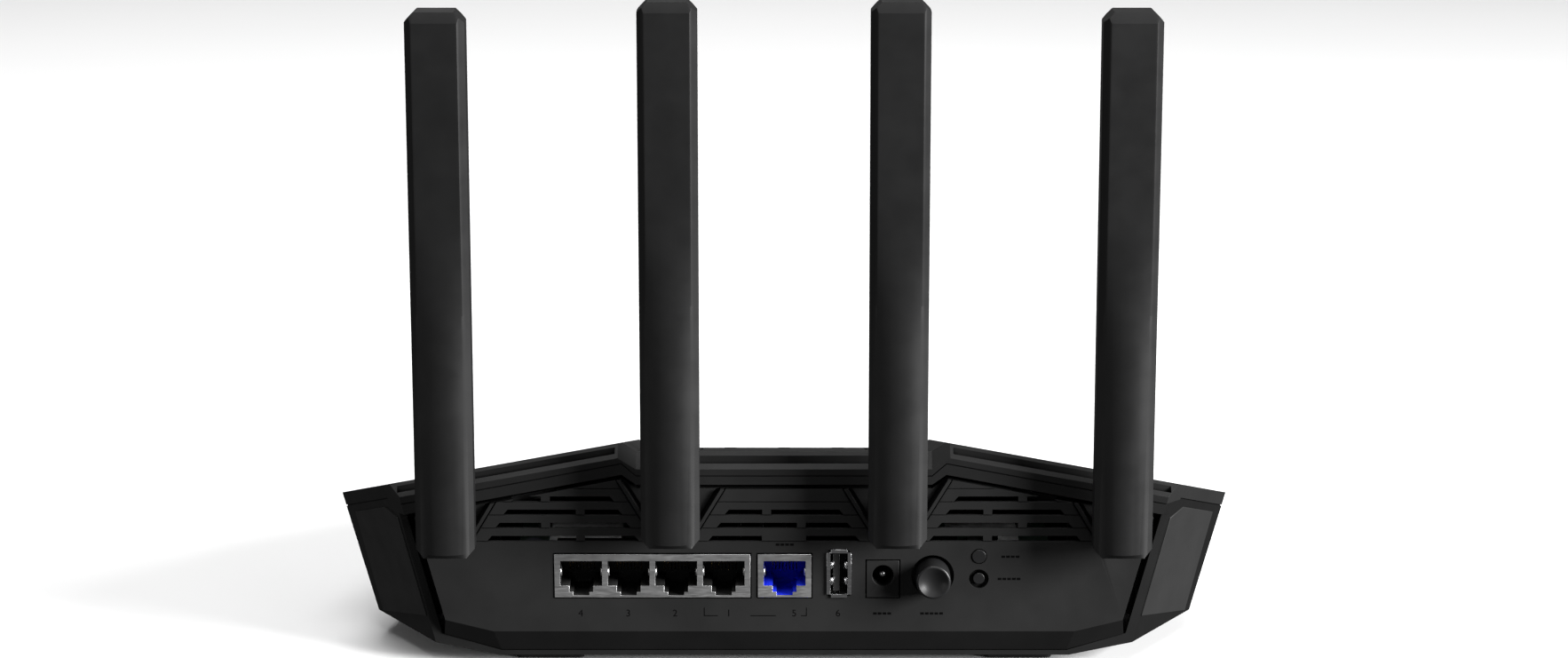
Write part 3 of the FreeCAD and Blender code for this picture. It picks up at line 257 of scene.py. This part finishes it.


# %% [markdown]
# ### Moulded plastic
# The case is moulded in near-black plastic whose mould was spark-eroded, which leaves a fine
# pebble grain. Two noises make it: a fine one for the pebbles, and a broad one that changes the
# polish a little, as handling and flow of the plastic do. Narrow crevices are found with an
# Ambient Occlusion node, and the base colour is made darker there: painted shade.


# %% moulded plastics
def paint_groove_shade(material, reach=1.6, darkest=0.08):
    """Paints shade into the base colour: multiplies it down where surfaces crowd within this many mm.
    """
    tree, shader = parts_of(material)
    crowding = tree.nodes.new("ShaderNodeAmbientOcclusion")
    crowding.samples = 6
    crowding.inputs["Distance"].default_value = reach * MM
    span = tree.nodes.new("ShaderNodeMapRange")
    span.inputs["From Min"].default_value = 0.35
    span.inputs["From Max"].default_value = 0.85
    span.inputs["To Min"].default_value = darkest
    tree.links.new(crowding.outputs["AO"], span.inputs["Value"])
    product = tree.nodes.new("ShaderNodeMix")
    product.data_type = "RGBA"
    product.blend_type = "MULTIPLY"
    product.inputs["Factor"].default_value = 1.0
    base = shader.inputs["Base Color"]
    tree.links.new(base.links[0].from_socket, product.inputs[6])
    tree.links.new(span.outputs["Result"], product.inputs[7])
    tree.links.new(product.outputs[2], base)


def grey(level, blue=0.0):
    """A neutral colour, with this much more blue."""
    return (level, level, level + blue)


def moulded(name, dark, light, rough, grain=0.45, height=0.02, specular=0.2, painted_groove_shade=False):
    """Plastic between two shades, with pebbles of this grain and height in mm."""
    material = new_finish(name, Specular_IOR_Level=specular)
    tree, _ = parts_of(material)
    colour_between(material, noise(tree, 18.0, 3.0), dark, light)
    value_between(material, noise(tree, 7.0, 4.0), "Roughness", rough - 0.05, rough + 0.05)
    relief(material, noise(tree, grain, 3.0), height, 0.6)
    # painted shade: the base colour is darkened in narrow crevices
    if painted_groove_shade:
        paint_groove_shade(material)
    return material


# These case plastics darken their narrow crevices: painted shade.
body_plastic = moulded(
    "moulded black", grey(0.0110), grey(0.0135), 0.50, specular=0.14, painted_groove_shade=True
)
# A darker, duller copy of the case plastic for the rim faces turned to the key lamp: painted shade.
rim_painted_shade = moulded("rim painted shade", grey(0.0045), grey(0.0060), 0.60, specular=0.08, painted_groove_shade=True)
# A darker copy of the panel plastic for the band's downward faces: painted shade.
band_painted_shade = moulded("band painted shade", grey(0.0070), grey(0.0095), 0.55, specular=0.14, painted_groove_shade=True)
panel_plastic = moulded(
    "panel black", grey(0.0135), grey(0.0165), 0.52, specular=0.16, painted_groove_shade=True
)
antenna_plastic = moulded(
    "antenna black", grey(0.0078, 0.0001), grey(0.0096, 0.0001), 0.46, 0.35, 0.012
)
button_plastic = moulded(
    "button black", grey(0.010, 0.0003), grey(0.013, 0.0004), 0.38, 0.3, 0.006, 0.3
)
rubber = moulded("foot rubber", grey(0.010), grey(0.017, -0.001), 0.8, 0.6, 0.03, 0.25)
ink = moulded("printed ink", grey(0.0012), grey(0.002), 0.6, 0.2, 0.002, 0.04)
# Black for the cut edges of the socket screens, which lie in shadow: painted shadow.
edge_shadow_black = moulded("painted shadow black", grey(0.003), grey(0.005), 0.6, 0.4, 0.01, 0.1)
print("moulded finishes:", len(bpy.data.materials))

# %% [markdown]
# ### Ruled plate and inset panels
# The centre plate has a finer, glossier skin with a ruled pattern cut into the mould. A Wave
# texture gives the parallel lines, turned to run across the plate. The inset side panels have the
# same fine skin without the lines.


# %% ruled plastic
def ruled(name, dark, light, rough, pitch, turn):
    """Moulded plastic with parallel lines, this many mm apart."""
    material = moulded(name, dark, light, rough, 0.3, 0.005)
    tree, _ = parts_of(material)
    wave = tree.nodes.new("ShaderNodeTexWave")
    wave.wave_profile = "SIN"
    # One band of the wave takes 2 pi / 20 of a unit at a scale of one.
    wave.inputs["Scale"].default_value = math.pi / 10 / (pitch * MM)
    wave.inputs["Distortion"].default_value = 0.0
    tree.links.new(coordinates(tree, turn=turn), wave.inputs["Vector"])
    relief(material, wave.outputs["Fac"], 0.06, 0.8)
    return material


RULE_PITCH = 1.6
plate_plastic = ruled(
    "ruled plate", grey(0.0065, 0.0003), grey(0.0085, 0.0003), 0.36, RULE_PITCH, (0, 0, 45)
)
gloss_plastic = moulded("inset panel", grey(0.0155), grey(0.0180), 0.42, 0.3, 0.006)
print("lines every", RULE_PITCH, "mm")

# %% [markdown]
# ### Metals
# Socket screens are bright tin over steel, drawn through rollers, so their faint scratches run
# one way: the noise is squeezed along X. Contacts are gold over nickel. The heat sink is dark,
# because anodising takes a dye.


# %% plated metals
def plated(name, dark, light, rough, squeeze=(0.08, 1, 1), height=0.004):
    """Metal between two shades, whose scratches are drawn out along the squeezed axis."""
    material = new_finish(name, Metallic=1.0)
    tree, _ = parts_of(material)
    colour_between(material, noise(tree, 4.0, 3.0), dark, light)
    value_between(material, noise(tree, 0.25, 4.0, squeeze), "Roughness", rough - 0.08, rough + 0.08)
    relief(material, noise(tree, 0.2, 3.0, squeeze), height, 0.5)
    return material


jack_metal = plated("tinned screen", grey(0.46), grey(0.58), 0.45)
usb_metal = plated("nickel shell", grey(0.62, 0.01), grey(0.75, 0.01), 0.22)
gold = plated("gold contacts", (0.75, 0.52, 0.20), (0.86, 0.63, 0.28), 0.28, (1, 0.1, 1))
steel = plated("zinc steel", grey(0.45, 0.01), grey(0.60), 0.33, (1, 1, 1))
aluminium = plated("anodised metal", grey(0.020, 0.001), grey(0.035, 0.002), 0.45, (1, 0.06, 1))
print("with metals:", len(bpy.data.materials))

# %% [markdown]
# ### Inner parts
# Through the vents and sockets one glimpses the board. Its green is a solder mask over copper
# tracks: a Brick texture draws the tracks, and noise breaks them up.

# %% board and electronic parts
jack_black = moulded("socket black", grey(0.012), grey(0.018), 0.40, 0.4, 0.01, 0.4)
jack_blue = moulded("socket blue", (0.010, 0.020, 0.48), (0.018, 0.040, 0.62), 0.35, 0.4, 0.01)
chip_black = moulded("chip resin", grey(0.012, 0.001), grey(0.022, 0.002), 0.60, 0.25, 0.01)
pad_grey = moulded("thermal pad", (0.30, 0.36, 0.42), (0.38, 0.44, 0.50), 0.75, 0.5, 0.02)
capacitor_skin = moulded("capacitor sleeve", grey(0.02, 0.01), grey(0.05, 0.02), 0.35, 1.5, 0.01)
lead_jacket = moulded("lead jacket", grey(0.012), grey(0.03), 0.5, 0.3, 0.01)
label_paper = moulded("label film", grey(0.10), grey(0.13), 0.45, 0.6, 0.004)

board_green = new_finish("solder mask", Roughness=0.3, Coat_Weight=0.3)
tree, shader = parts_of(board_green)
tracks = tree.nodes.new("ShaderNodeTexBrick")
tracks.inputs["Scale"].default_value = 260.0
tracks.inputs["Mortar Size"].default_value = 0.012
tracks.inputs["Color1"].default_value = (0.003, 0.007, 0.005, 1)
tracks.inputs["Color2"].default_value = (0.004, 0.009, 0.006, 1)
tracks.inputs["Mortar"].default_value = (0.010, 0.018, 0.011, 1)
tree.links.new(coordinates(tree, turn=(0, 0, 30)), tracks.inputs["Vector"])
tree.links.new(tracks.outputs["Color"], shader.inputs["Base Color"])
relief(board_green, noise(tree, 1.2, 4.0), 0.01)
print("with the board and its parts:", len(bpy.data.materials))

# %% [markdown]
# ### Lamp windows
# Four windows at the front edge of the roof let the status lamps through. They are milky plastic:
# mostly pale and dull, and only a little of the light goes through.

# %% the lamp windows
window_plastic = new_finish("lamp window", Specular_IOR_Level=0.3, Transmission_Weight=0.1)
tree, _ = parts_of(window_plastic)
colour_between(window_plastic, noise(tree, 3.0), (0.42, 0.423, 0.43), (0.50, 0.503, 0.51))
value_between(window_plastic, noise(tree, 1.0), "Roughness", 0.28, 0.38)
relief(window_plastic, noise(tree, 0.3), 0.004, 0.5)
print("finishes in all:", len(bpy.data.materials))

# %% [markdown]
# ## Pieces that keep their CAD shape
# These get softened edges and a finish. The width of the rounding follows the part: wide on the
# case, a hair's breadth on sheet metal. Each row below gives the node, its finish, the record's
# slot, the rounding in mm, and the angle in degrees under which faces are shaded as one surface.

# %% case, panel, connectors and feet
finished = {}
for node, material, slot, width, smooth in (
    ("bottom_case", body_plastic, "body_plastic", 0.25, 8),
    ("top_cover", body_plastic, "body_plastic", 0.25, 8),
    ("top_plate", plate_plastic, "gloss_plastic", 0.2, 8),
    ("light_guide", window_plastic, "clear_plastic", 0.1, 8),
    ("wing_panel_right", gloss_plastic, "gloss_plastic", 0.2, 8),
    ("wing_panel_left", gloss_plastic, "gloss_plastic", 0.2, 8),
    ("rear_panel", panel_plastic, "panel_plastic", 0.12, 12),
    ("lan_jack_shell", jack_metal, "jack_metal", 0.08, 8),
    ("wan_jack_shell", jack_metal, "jack_metal", 0.08, 8),
    ("lan_jack_body", jack_black, "jack_black", 0.06, 8),
    ("wan_jack_body", jack_blue, "jack_blue", 0.06, 8),
    ("usb_shell", usb_metal, "usb_metal", 0.08, 8),
    ("usb_tongue", jack_black, "jack_black", 0.1, 8),
    ("dc_jack", panel_plastic, "jack_black", 0.15, 30),
    ("wps_button", button_plastic, "body_plastic", 0.15, 30),
    ("reset_button", button_plastic, "body_plastic", 0.15, 30),
    ("rubber_feet", rubber, "rubber", 0.3, 30),
    ("heatsink", aluminium, "aluminium", 0.1, 8),
):
    thing = softened(node, material, width, smooth)
    finished[node] = thing
    print(thing.name, len(thing.data.polygons), "faces before rounding")

# %% [markdown]
# Some pieces get painted shade: a second, darker material on faces that are found by the way they
# point, so no face has to be picked by hand. The rim of the right side panel, turned to the key
# lamp, gets darker and duller plastic; the sloping band under the port panel, turned down, gets
# darker plastic; and the cut edges of the sockets' screens, which lie in shadow, are painted black.

# %% painted shade on the right rim, the sloping band, and the cut edges of the screens
RIM_OUTWARD = (0.83, -0.52, -0.21)
BAND_OUTWARD = (0, -0.8, -0.6)
# Painted shade: the case's faces that point right and outwards get the darker plastic.
paint_shade_towards(finished["bottom_case"], rim_painted_shade, RIM_OUTWARD, 0.9)
# Painted shade: the panel's faces that point down and back get the darker plastic.
paint_shade_towards(finished["rear_panel"], band_painted_shade, BAND_OUTWARD, 0.85)
# Painted shadow: the screens' cut edges, facing sideways, up and down, are made black.
for node in ("lan_jack_shell", "wan_jack_shell"):
    for direction in ((1, 0, 0), (-1, 0, 0), (0, 0, 1), (0, 0, -1)):
        paint_shade_towards(finished[node], edge_shadow_black, direction, 0.9)
print("pieces with painted shade:", sum(1 for thing in finished.values() if len(thing.data.materials) > 1))

# %% [markdown]
# The small parts keep their CAD mesh as it is. Most are inside and only glimpsed through the
# vents, or underneath, so they get a finish and no rounding.

# %% small and inner parts
for material, nodes in (
    (panel_plastic, ["antenna_retainers"]),
    (steel, ["case_screws", "board_screws", "shield_cans"]),
    (jack_black, ["power_switch", "tact_switches", "magnetics"]),
    (board_green, ["main_board", "button_board"]),
    (chip_black, ["chips"]),
    (pad_grey, ["thermal_pads"]),
    (capacitor_skin, ["capacitors"]),
    (window_plastic, ["leds"]),
    (label_paper, ["rating_label"]),
):
    for node in nodes:
        paint(node, material)
print("painted nodes:", sum(1 for n in frame["nodes"].values() if n.data.materials))

# %% [markdown]
# ## Antennas
# Each antenna is a flat blade at the top whose front swells into a round bar near its foot, where
# the hinge is. The CAD blade is flat all the way. The copy of its outer shell is cut into strips
# with bisect_plane, and the strips near the foot are pushed back to lie on an arc. The push fades
# out upwards along a smooth step, so the flat face and its chamfers grow out of the round foot.

# %% measures of the blade, in mm
FACE_HALF = 6.5      # half width of the flat front face
CHAMFER_RUN = 2.0    # width of the chamfer beside it
CHAMFER_BACK = 2.7   # how far the chamfer falls back
CROWN_BACK = 3.6     # how far the round foot falls back at its sides
STRIP_WIDTH = 1.2    # the front is cut into strips this wide
STRIP_HEIGHT = 5.0   # and this high
INNER_PUSH = 0.25    # the inside of the skin is moved no further than this
BLEND = (42.0, 112.0)  # heights above the foot where the round front fades out
SKIN = 1.3           # what lies nearer to the front face than this is moved
blade_half = FACE_HALF + CHAMFER_RUN
crown_radius = (blade_half**2 + CROWN_BACK**2) / (2 * CROWN_BACK)
print("radius of the round foot, mm:", round(crown_radius, 2))


# %% the round foot
def flat_back(x):
    """How far the flat blade's front lies behind its foremost face, x mm from its middle."""
    return max(0.0, abs(x) - FACE_HALF) * CHAMFER_BACK / CHAMFER_RUN


def crown_back(x):
    """The same for the round foot."""
    return crown_radius - math.sqrt(crown_radius**2 - min(abs(x), blade_half) ** 2)


def roundness(height):
    """1 at the foot and 0 where the blade is flat."""
    share = (height - BLEND[0]) / (BLEND[1] - BLEND[0])
    share = min(1.0, max(0.0, share))
    return 1 - share * share * (3 - 2 * share)


def cut_strips(bm, axis, places):
    """Cuts the whole bmesh by planes across an axis, at these places in metres."""
    normal = Vector((0, 0, 0))
    normal[axis] = 1
    for place in places:
        geometry = bm.verts[:] + bm.edges[:] + bm.faces[:]
        bmesh.ops.bisect_plane(
            bm, geom=geometry, dist=0.001 * MM, plane_co=normal * place, plane_no=normal
        )


def antenna_shell(place):
    """The outer blade shell of one antenna, with its foot rounded."""
    node = "blade_outer_" + place
    low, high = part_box(node)
    middle = (low.x + high.x) / 2
    bm = merged(node)
    cut_strips(bm, 0, [middle + k * STRIP_WIDTH * MM for k in range(-6, 7)])
    cut_strips(bm, 2, [low.z + (BLEND[0] + k * STRIP_HEIGHT) * MM for k in range(15)])
    for vert in bm.verts:
        x = (vert.co.x - middle) / MM
        depth = (vert.co.y - low.y) / MM - flat_back(x)
        if depth < SKIN:
            push = roundness((vert.co.z - low.z) / MM) * (crown_back(x) - flat_back(x))
            if depth > SKIN / 2:
                push = min(push, INNER_PUSH)
            vert.co.y += push * MM
    body = "antenna_" + place
    thing = piece_from(bm, "antenna_shell_" + place, antenna_plastic, body)
    add_bevel(thing, 0.3)
    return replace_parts(thing, node)


for place in ("outer_left", "outer_right", "inner_left", "inner_right"):
    shell = antenna_shell(place)
    softened("blade_inner_" + place, antenna_plastic, 0.3)
    softened("neck_" + place, antenna_plastic, 0.15)
    paint("hinge_pin_" + place, steel)
    paint("radiator_" + place, board_green)
    paint("lead_" + place, lead_jacket)
    print(shell.name, len(shell.data.polygons), "faces before rounding")

# %% [markdown]
# ## Turned parts
# The power cap and the pin in the power inlet are round. Half of the outline is drawn as a few
# points, from the axis outwards, and spun about the axis, as on a lathe. The cap's face is dished
# for the finger and its rim is rounded; the pin ends in a dome.


# %% spin an outline about an axis along Y
def turned(outline, x, z, steps):
    """A bmesh from (radius, y) points in mm, spun about a line along Y through x and z in metres."""
    bm = bmesh.new()
    verts = [bm.verts.new((x + radius * MM, y * MM, z)) for radius, y in outline]
    edges = [bm.edges.new(pair) for pair in zip(verts, verts[1:])]
    bmesh.ops.spin(
        bm,
        geom=verts + edges,
        cent=(x, 0, z),
        axis=(0, 1, 0),
        angle=math.tau,
        steps=steps,
        use_merge=True,
    )
    bmesh.ops.remove_doubles(bm, verts=bm.verts, dist=0.002 * MM)
    bmesh.ops.recalc_face_normals(bm, faces=bm.faces)
    return bm


def quarter(middle, radius, start, steps=6):
    """Points (radius, y) of a quarter circle from the front face at start to the flank.

    The circle's middle lies this far from the axis.
    """
    turns = [math.pi / 2 * k / steps for k in range(steps + 1)]
    return [(middle + radius * math.sin(t), start + radius * (1 - math.cos(t))) for t in turns]


# %% power cap
CAP_RADIUS = 5.1
CAP_REACH = 7.3        # out of the panel
CAP_EDGE = 0.7
CAP_DISH = 1.5
CAP_LIP = 0.2          # flat ring between the dish and the rounded edge
PANEL_WALL = 3.0
FLANGE_GAP = 0.8       # between the panel and the flange behind it
FLANGE_RADIUS = 7.15
FLANGE_WALL = 1.2
STEM_RADIUS = 2.0
low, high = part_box("power_button")
front, back = low.y / MM, high.y / MM
flange_y = front + CAP_REACH + PANEL_WALL + FLANGE_GAP
dish = CAP_RADIUS - CAP_EDGE - CAP_LIP
outline = [(dish * k / 8, front + CAP_DISH * (1 - (k / 8) ** 2)) for k in range(8)]
outline += quarter(CAP_RADIUS - CAP_EDGE, CAP_EDGE, front)
outline += [
    (CAP_RADIUS, flange_y),
    (FLANGE_RADIUS, flange_y),
    (FLANGE_RADIUS, flange_y + FLANGE_WALL),
    (STEM_RADIUS, flange_y + FLANGE_WALL),
    (STEM_RADIUS, back),
    (0, back),
]
bm = turned(outline, (low.x + high.x) / 2, (low.z + high.z) / 2, 72)
cap = piece_from(bm, "power_cap", button_plastic, "power_key")
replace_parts(cap, "power_button")
print("power cap faces:", len(cap.data.polygons))

# %% pin of the power inlet
low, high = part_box("dc_pin")
radius = (high.x - low.x) / 2 / MM
outline = quarter(0, radius, low.y / MM) + [(radius, high.y / MM), (0, high.y / MM)]
bm = turned(outline, (low.x + high.x) / 2, (low.z + high.z) / 2, 32)
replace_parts(piece_from(bm, "dc_pin_domed", steel, "case"), "dc_pin")
print("pin radius, mm:", round(radius, 2))

# %% [markdown]
# ## Springs
# Bent tongues of sheet metal press on a plug: four in the USB shell, and one at each side of every
# network socket. One edge is drawn as a bent line and extruded sideways into a strip, and a
# Solidify modifier gives it the thickness of the sheet.


# %% bent strips
def strip(bm, bend, across):
    """A strip swept from the bent line of points by the vector across, all in metres."""
    verts = [bm.verts.new(point) for point in bend]
    edges = [bm.edges.new(pair) for pair in zip(verts, verts[1:])]
    made = bmesh.ops.extrude_edge_only(bm, edges=edges)["geom"]
    bmesh.ops.translate(bm, verts=[v for v in made if isinstance(v, bmesh.types.BMVert)], vec=across)


def sheet_piece(bm, name, material):
    """The strips as one piece, with the thickness of sheet metal."""
    thing = piece_from(bm, name, material, "case")
    wall = thing.modifiers.new("sheet", "SOLIDIFY")
    wall.thickness = 0.2 * MM
    wall.offset = 0.0
    return thing


def bent(x, y, z, side, bend):
    """The points (across, behind) of a bend in mm, from a place in metres towards a side."""
    return [(x + side * across * MM, y + behind * MM, z) for across, behind in bend]


# %% springs of the USB shell
USB_BEND = [(2.4225, 0.2), (1.275, 1.6), (1.9125, 3.4), (2.55, 8.0)]
USB_SPRING_FEET = (-3.4, 1.4)
USB_SPRING_WIDTH = 2.0
low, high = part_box("usb_shell")
middle_x, middle_z = (low.x + high.x) / 2, (low.z + high.z) / 2
bm = bmesh.new()
for side in (-1, 1):
    for foot in USB_SPRING_FEET:
        points = bent(middle_x, low.y, middle_z + foot * MM, side, USB_BEND)
        strip(bm, points, (0, 0, USB_SPRING_WIDTH * MM))
springs = sheet_piece(bm, "usb_springs", usb_metal)
print(springs.name, "at x =", round(middle_x / MM, 1), "mm")

# %% springs at the sides of the network sockets
SOCKET_PITCH = 13.97
SOCKET_BEND = [(6.1, 0.1), (5.75, 0.9), (5.8, 2.0), (6.1, 4.0)]
SOCKET_SPRING_DROP = 6.6
SOCKET_SPRING_WIDTH = 2.1
low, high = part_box("lan_jack_shell")
wan_low, wan_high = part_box("wan_jack_shell")
row_middle = (low.x + high.x) / 2
sockets = [row_middle + (k - 1.5) * SOCKET_PITCH * MM for k in range(4)]
sockets.append((wan_low.x + wan_high.x) / 2)
bm = bmesh.new()
for x in sockets:
    for side in (-1, 1):
        points = bent(x, low.y, high.z - SOCKET_SPRING_DROP * MM, side, SOCKET_BEND)
        strip(bm, points, (0, 0, SOCKET_SPRING_WIDTH * MM))
sheet_piece(bm, "socket_springs", jack_metal)
print("sockets:", len(sockets))

# %% eight contact wires in each socket
WIRE_PITCH = 1.02
WIRE_WIDTH = 0.42
WIRE_BEND = [(1.6, 0.15), (3.2, 0.7), (5.5, 2.2), (7.5, 4.0), (8.2, 4.9)]   # (behind, below)
ceiling = high.z - 2.1 * MM        # the sockets' ceiling lies this far under the screen's top
bm = bmesh.new()
for x in sockets:
    for k in range(8):
        left = x + ((k - 3.5) * WIRE_PITCH - WIRE_WIDTH / 2) * MM
        points = [(left, low.y + behind * MM, ceiling - below * MM) for behind, below in WIRE_BEND]
        strip(bm, points, (WIRE_WIDTH * MM, 0, 0))
wires = sheet_piece(bm, "contact_wires", gold)
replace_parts(wires, "jack_contacts")
print("wires:", 8 * len(sockets))

# %% [markdown]
# ## Printed marks
# Dark ink marks stand under the sockets: plain numbers, and lines where there would be words. A
# text becomes a mesh first, then it is turned upright and set on the panel's face.

# %% numbers and lines on the panel
RIB_PROUD = 0.7        # the ribs stand this far out of the panel
face_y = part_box("rear_panel")[0].y + RIB_PROUD * MM
INK = 0.03 * MM


def middle_of(node):
    """The x and z of the middle of a CAD node, in mm."""
    low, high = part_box(node)
    return (low.x + high.x) / 2 / MM, (low.z + high.z) / 2 / MM


def text_mesh(text, size):
    """A flat text as a mesh, in the XY plane, its middle at the origin."""
    curve = bpy.data.curves.new("number", "FONT")
    curve.body = text
    curve.size = size * MM
    curve.align_x = "CENTER"
    curve.align_y = "CENTER"
    curve.extrude = INK / 2
    source = bpy.data.objects.new("number", curve)
    bpy.context.scene.collection.objects.link(source)
    bpy.context.view_layer.update()
    mesh = bpy.data.meshes.new_from_object(source.evaluated_get(bpy.context.evaluated_depsgraph_get()))
    bpy.data.objects.remove(source)
    return mesh


def print_text(bm, text, x, z, size):
    """Adds a text to the marks, its middle at x and z in mm."""
    mesh = text_mesh(text, size)
    upright = Matrix.Rotation(math.radians(90), 4, "X")
    mesh.transform(Matrix.Translation((x * MM, face_y, z * MM)) @ upright)
    bm.from_mesh(mesh)
    bpy.data.meshes.remove(mesh)


def print_bar(bm, x, z, width, height):
    """Adds a bar to the marks, its middle at x and z in mm."""
    size = Matrix.Diagonal((width * MM, INK, height * MM, 1))
    bmesh.ops.create_cube(bm, size=1, matrix=Matrix.Translation((x * MM, face_y, z * MM)) @ size)


# %% set the marks
NUMBER_SIZE = 3.0
ROW_DROP = 5.0         # the numbers' middle lies this far under the screens
LINE = 0.25            # width of the drawn lines
LINE_DROP = 0.7        # the lines lie a little lower than the numbers
HOOK_RISE = 0.5        # and their outer ends turn up
HOOK_HEIGHT = 2.6
DASH = 1.1
DASH_GAP = 0.3
DASH_HEIGHT = 0.7
row_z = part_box("lan_jack_shell")[0].z / MM - ROW_DROP
lan_4, lan_3, lan_2, lan_1, wan = [x / MM for x in sockets]
wps_x, wps_z = middle_of("wps_button")
reset_x, reset_z = middle_of("reset_button")
bracket_left, bracket_right = lan_1 - 5.755, wan + 6.425

bm = bmesh.new()
for number, x in (
    ("4", lan_4 - 0.245),
    ("3", lan_3 - 0.215),
    ("2", lan_2 - 0.385),
    ("1", lan_1 + 1.445),
    ("5", wan + 2.825),
    ("6", middle_of("usb_shell")[0] - 0.27),
):
    print_text(bm, number, x, row_z, NUMBER_SIZE)
for left, right in (
    (bracket_left, bracket_left + 4.0),
    (lan_1 + 7.845, wan - 2.575),
    (bracket_right - 1.6, bracket_right),
):
    print_bar(bm, (left + right) / 2, row_z - LINE_DROP, right - left, LINE)
for x in (bracket_left, bracket_right):
    print_bar(bm, x, row_z + HOOK_RISE, LINE, HOOK_HEIGHT)
for x, z, dashes in (
    (wan + 0.025, wan_high.z / MM + 2.9, 4),
    (middle_of("dc_jack")[0] - 0.16, row_z, 4),
    (middle_of("power_button")[0] - 0.23, row_z, 5),
    (wps_x + 9.2, wps_z - 0.1, 4),
    (reset_x + 8.9, reset_z, 5),
):
    for k in range(dashes):
        print_bar(bm, x + (k - (dashes - 1) / 2) * (DASH + DASH_GAP), z, DASH, DASH_HEIGHT)
marks = piece_from(bm, "port_marks", ink, "case")
print("marks:", len(marks.data.polygons), "faces")

# %% [markdown]
# ## Floor, lamps and camera
# The router stands on a plain pale floor. A large soft lamp on the right does most of the work,
# so the right side of each antenna is lit and the left side falls away; a weak one on the left
# keeps that side from going black. Glossy and diffuse rays don't see the floor, because its
# brightness would wash out plastic as dark as this. The camera stands behind the router, a little
# above it, and looks down by thirteen degrees.

# %% floor
bm = bmesh.new()
bmesh.ops.create_grid(bm, x_segments=4, y_segments=4, size=12.0)
mesh = bpy.data.meshes.new("floor")
bm.to_mesh(mesh)
bm.free()
floor_finish = new_finish("pale floor", Roughness=0.9, Specular_IOR_Level=0.0)
tree, _ = parts_of(floor_finish)
colour_between(floor_finish, noise(tree, 400.0), grey(0.83), grey(0.85))
mesh.materials.append(floor_finish)
floor = bpy.data.objects.new("floor", mesh)
bpy.context.scene.collection.objects.link(floor)
floor.visible_glossy = False
floor.visible_diffuse = False
print("floor at z =", floor.location.z)


# %% lamps and the room's light
def lamp(name, place, target, size, power):
    """A square soft lamp that shines at a point."""
    light = bpy.data.lights.new(name, "AREA")
    light.size = size
    light.energy = power
    thing = bpy.data.objects.new(name, light)
    thing.location = place
    thing.rotation_euler = (Vector(target) - Vector(place)).to_track_quat("-Z", "Y").to_euler()
    bpy.context.scene.collection.objects.link(thing)
    return thing


middle = (cad_box[0] + cad_box[1]) / 2
for name, place, size, power in (
    ("key lamp", (1.5, -0.75, 0.5), 0.7, 102),
    ("top lamp", (0.1, -0.7, 1.7), 0.9, 16),
    ("front lamp", (-0.4, 0.9, 1.9), 1.0, 30),
    ("left lamp", (-1.3, -0.7, 0.25), 1.0, 4),
):
    lamp(name, place, middle, size, power)
    print(name, power, "W")
world = bpy.data.worlds.new("room")
world.use_nodes = True
world.node_tree.nodes["Background"].inputs["Color"].default_value = (1.0, 1.0, 1.0, 1)
world.node_tree.nodes["Background"].inputs["Strength"].default_value = 0.09
bpy.context.scene.world = world

# %% camera
camera = bpy.data.cameras.new("camera")
camera.lens = 85.88
camera.sensor_width = 36.0
viewer = bpy.data.objects.new("camera", camera)
LOOKS_DOWN = 13.0
viewer.location = (0.0, -1.112583, 0.34602)
viewer.rotation_euler = (math.radians(90.0 - LOOKS_DOWN), 0.0, 0.0)
bpy.context.scene.collection.objects.link(viewer)
bpy.context.scene.camera = viewer
bpy.context.scene.view_settings.view_transform = "Standard"
print("camera", round(-viewer.location.y, 2), "m from the middle")

# %% the end
bpy.context.view_layer.update()
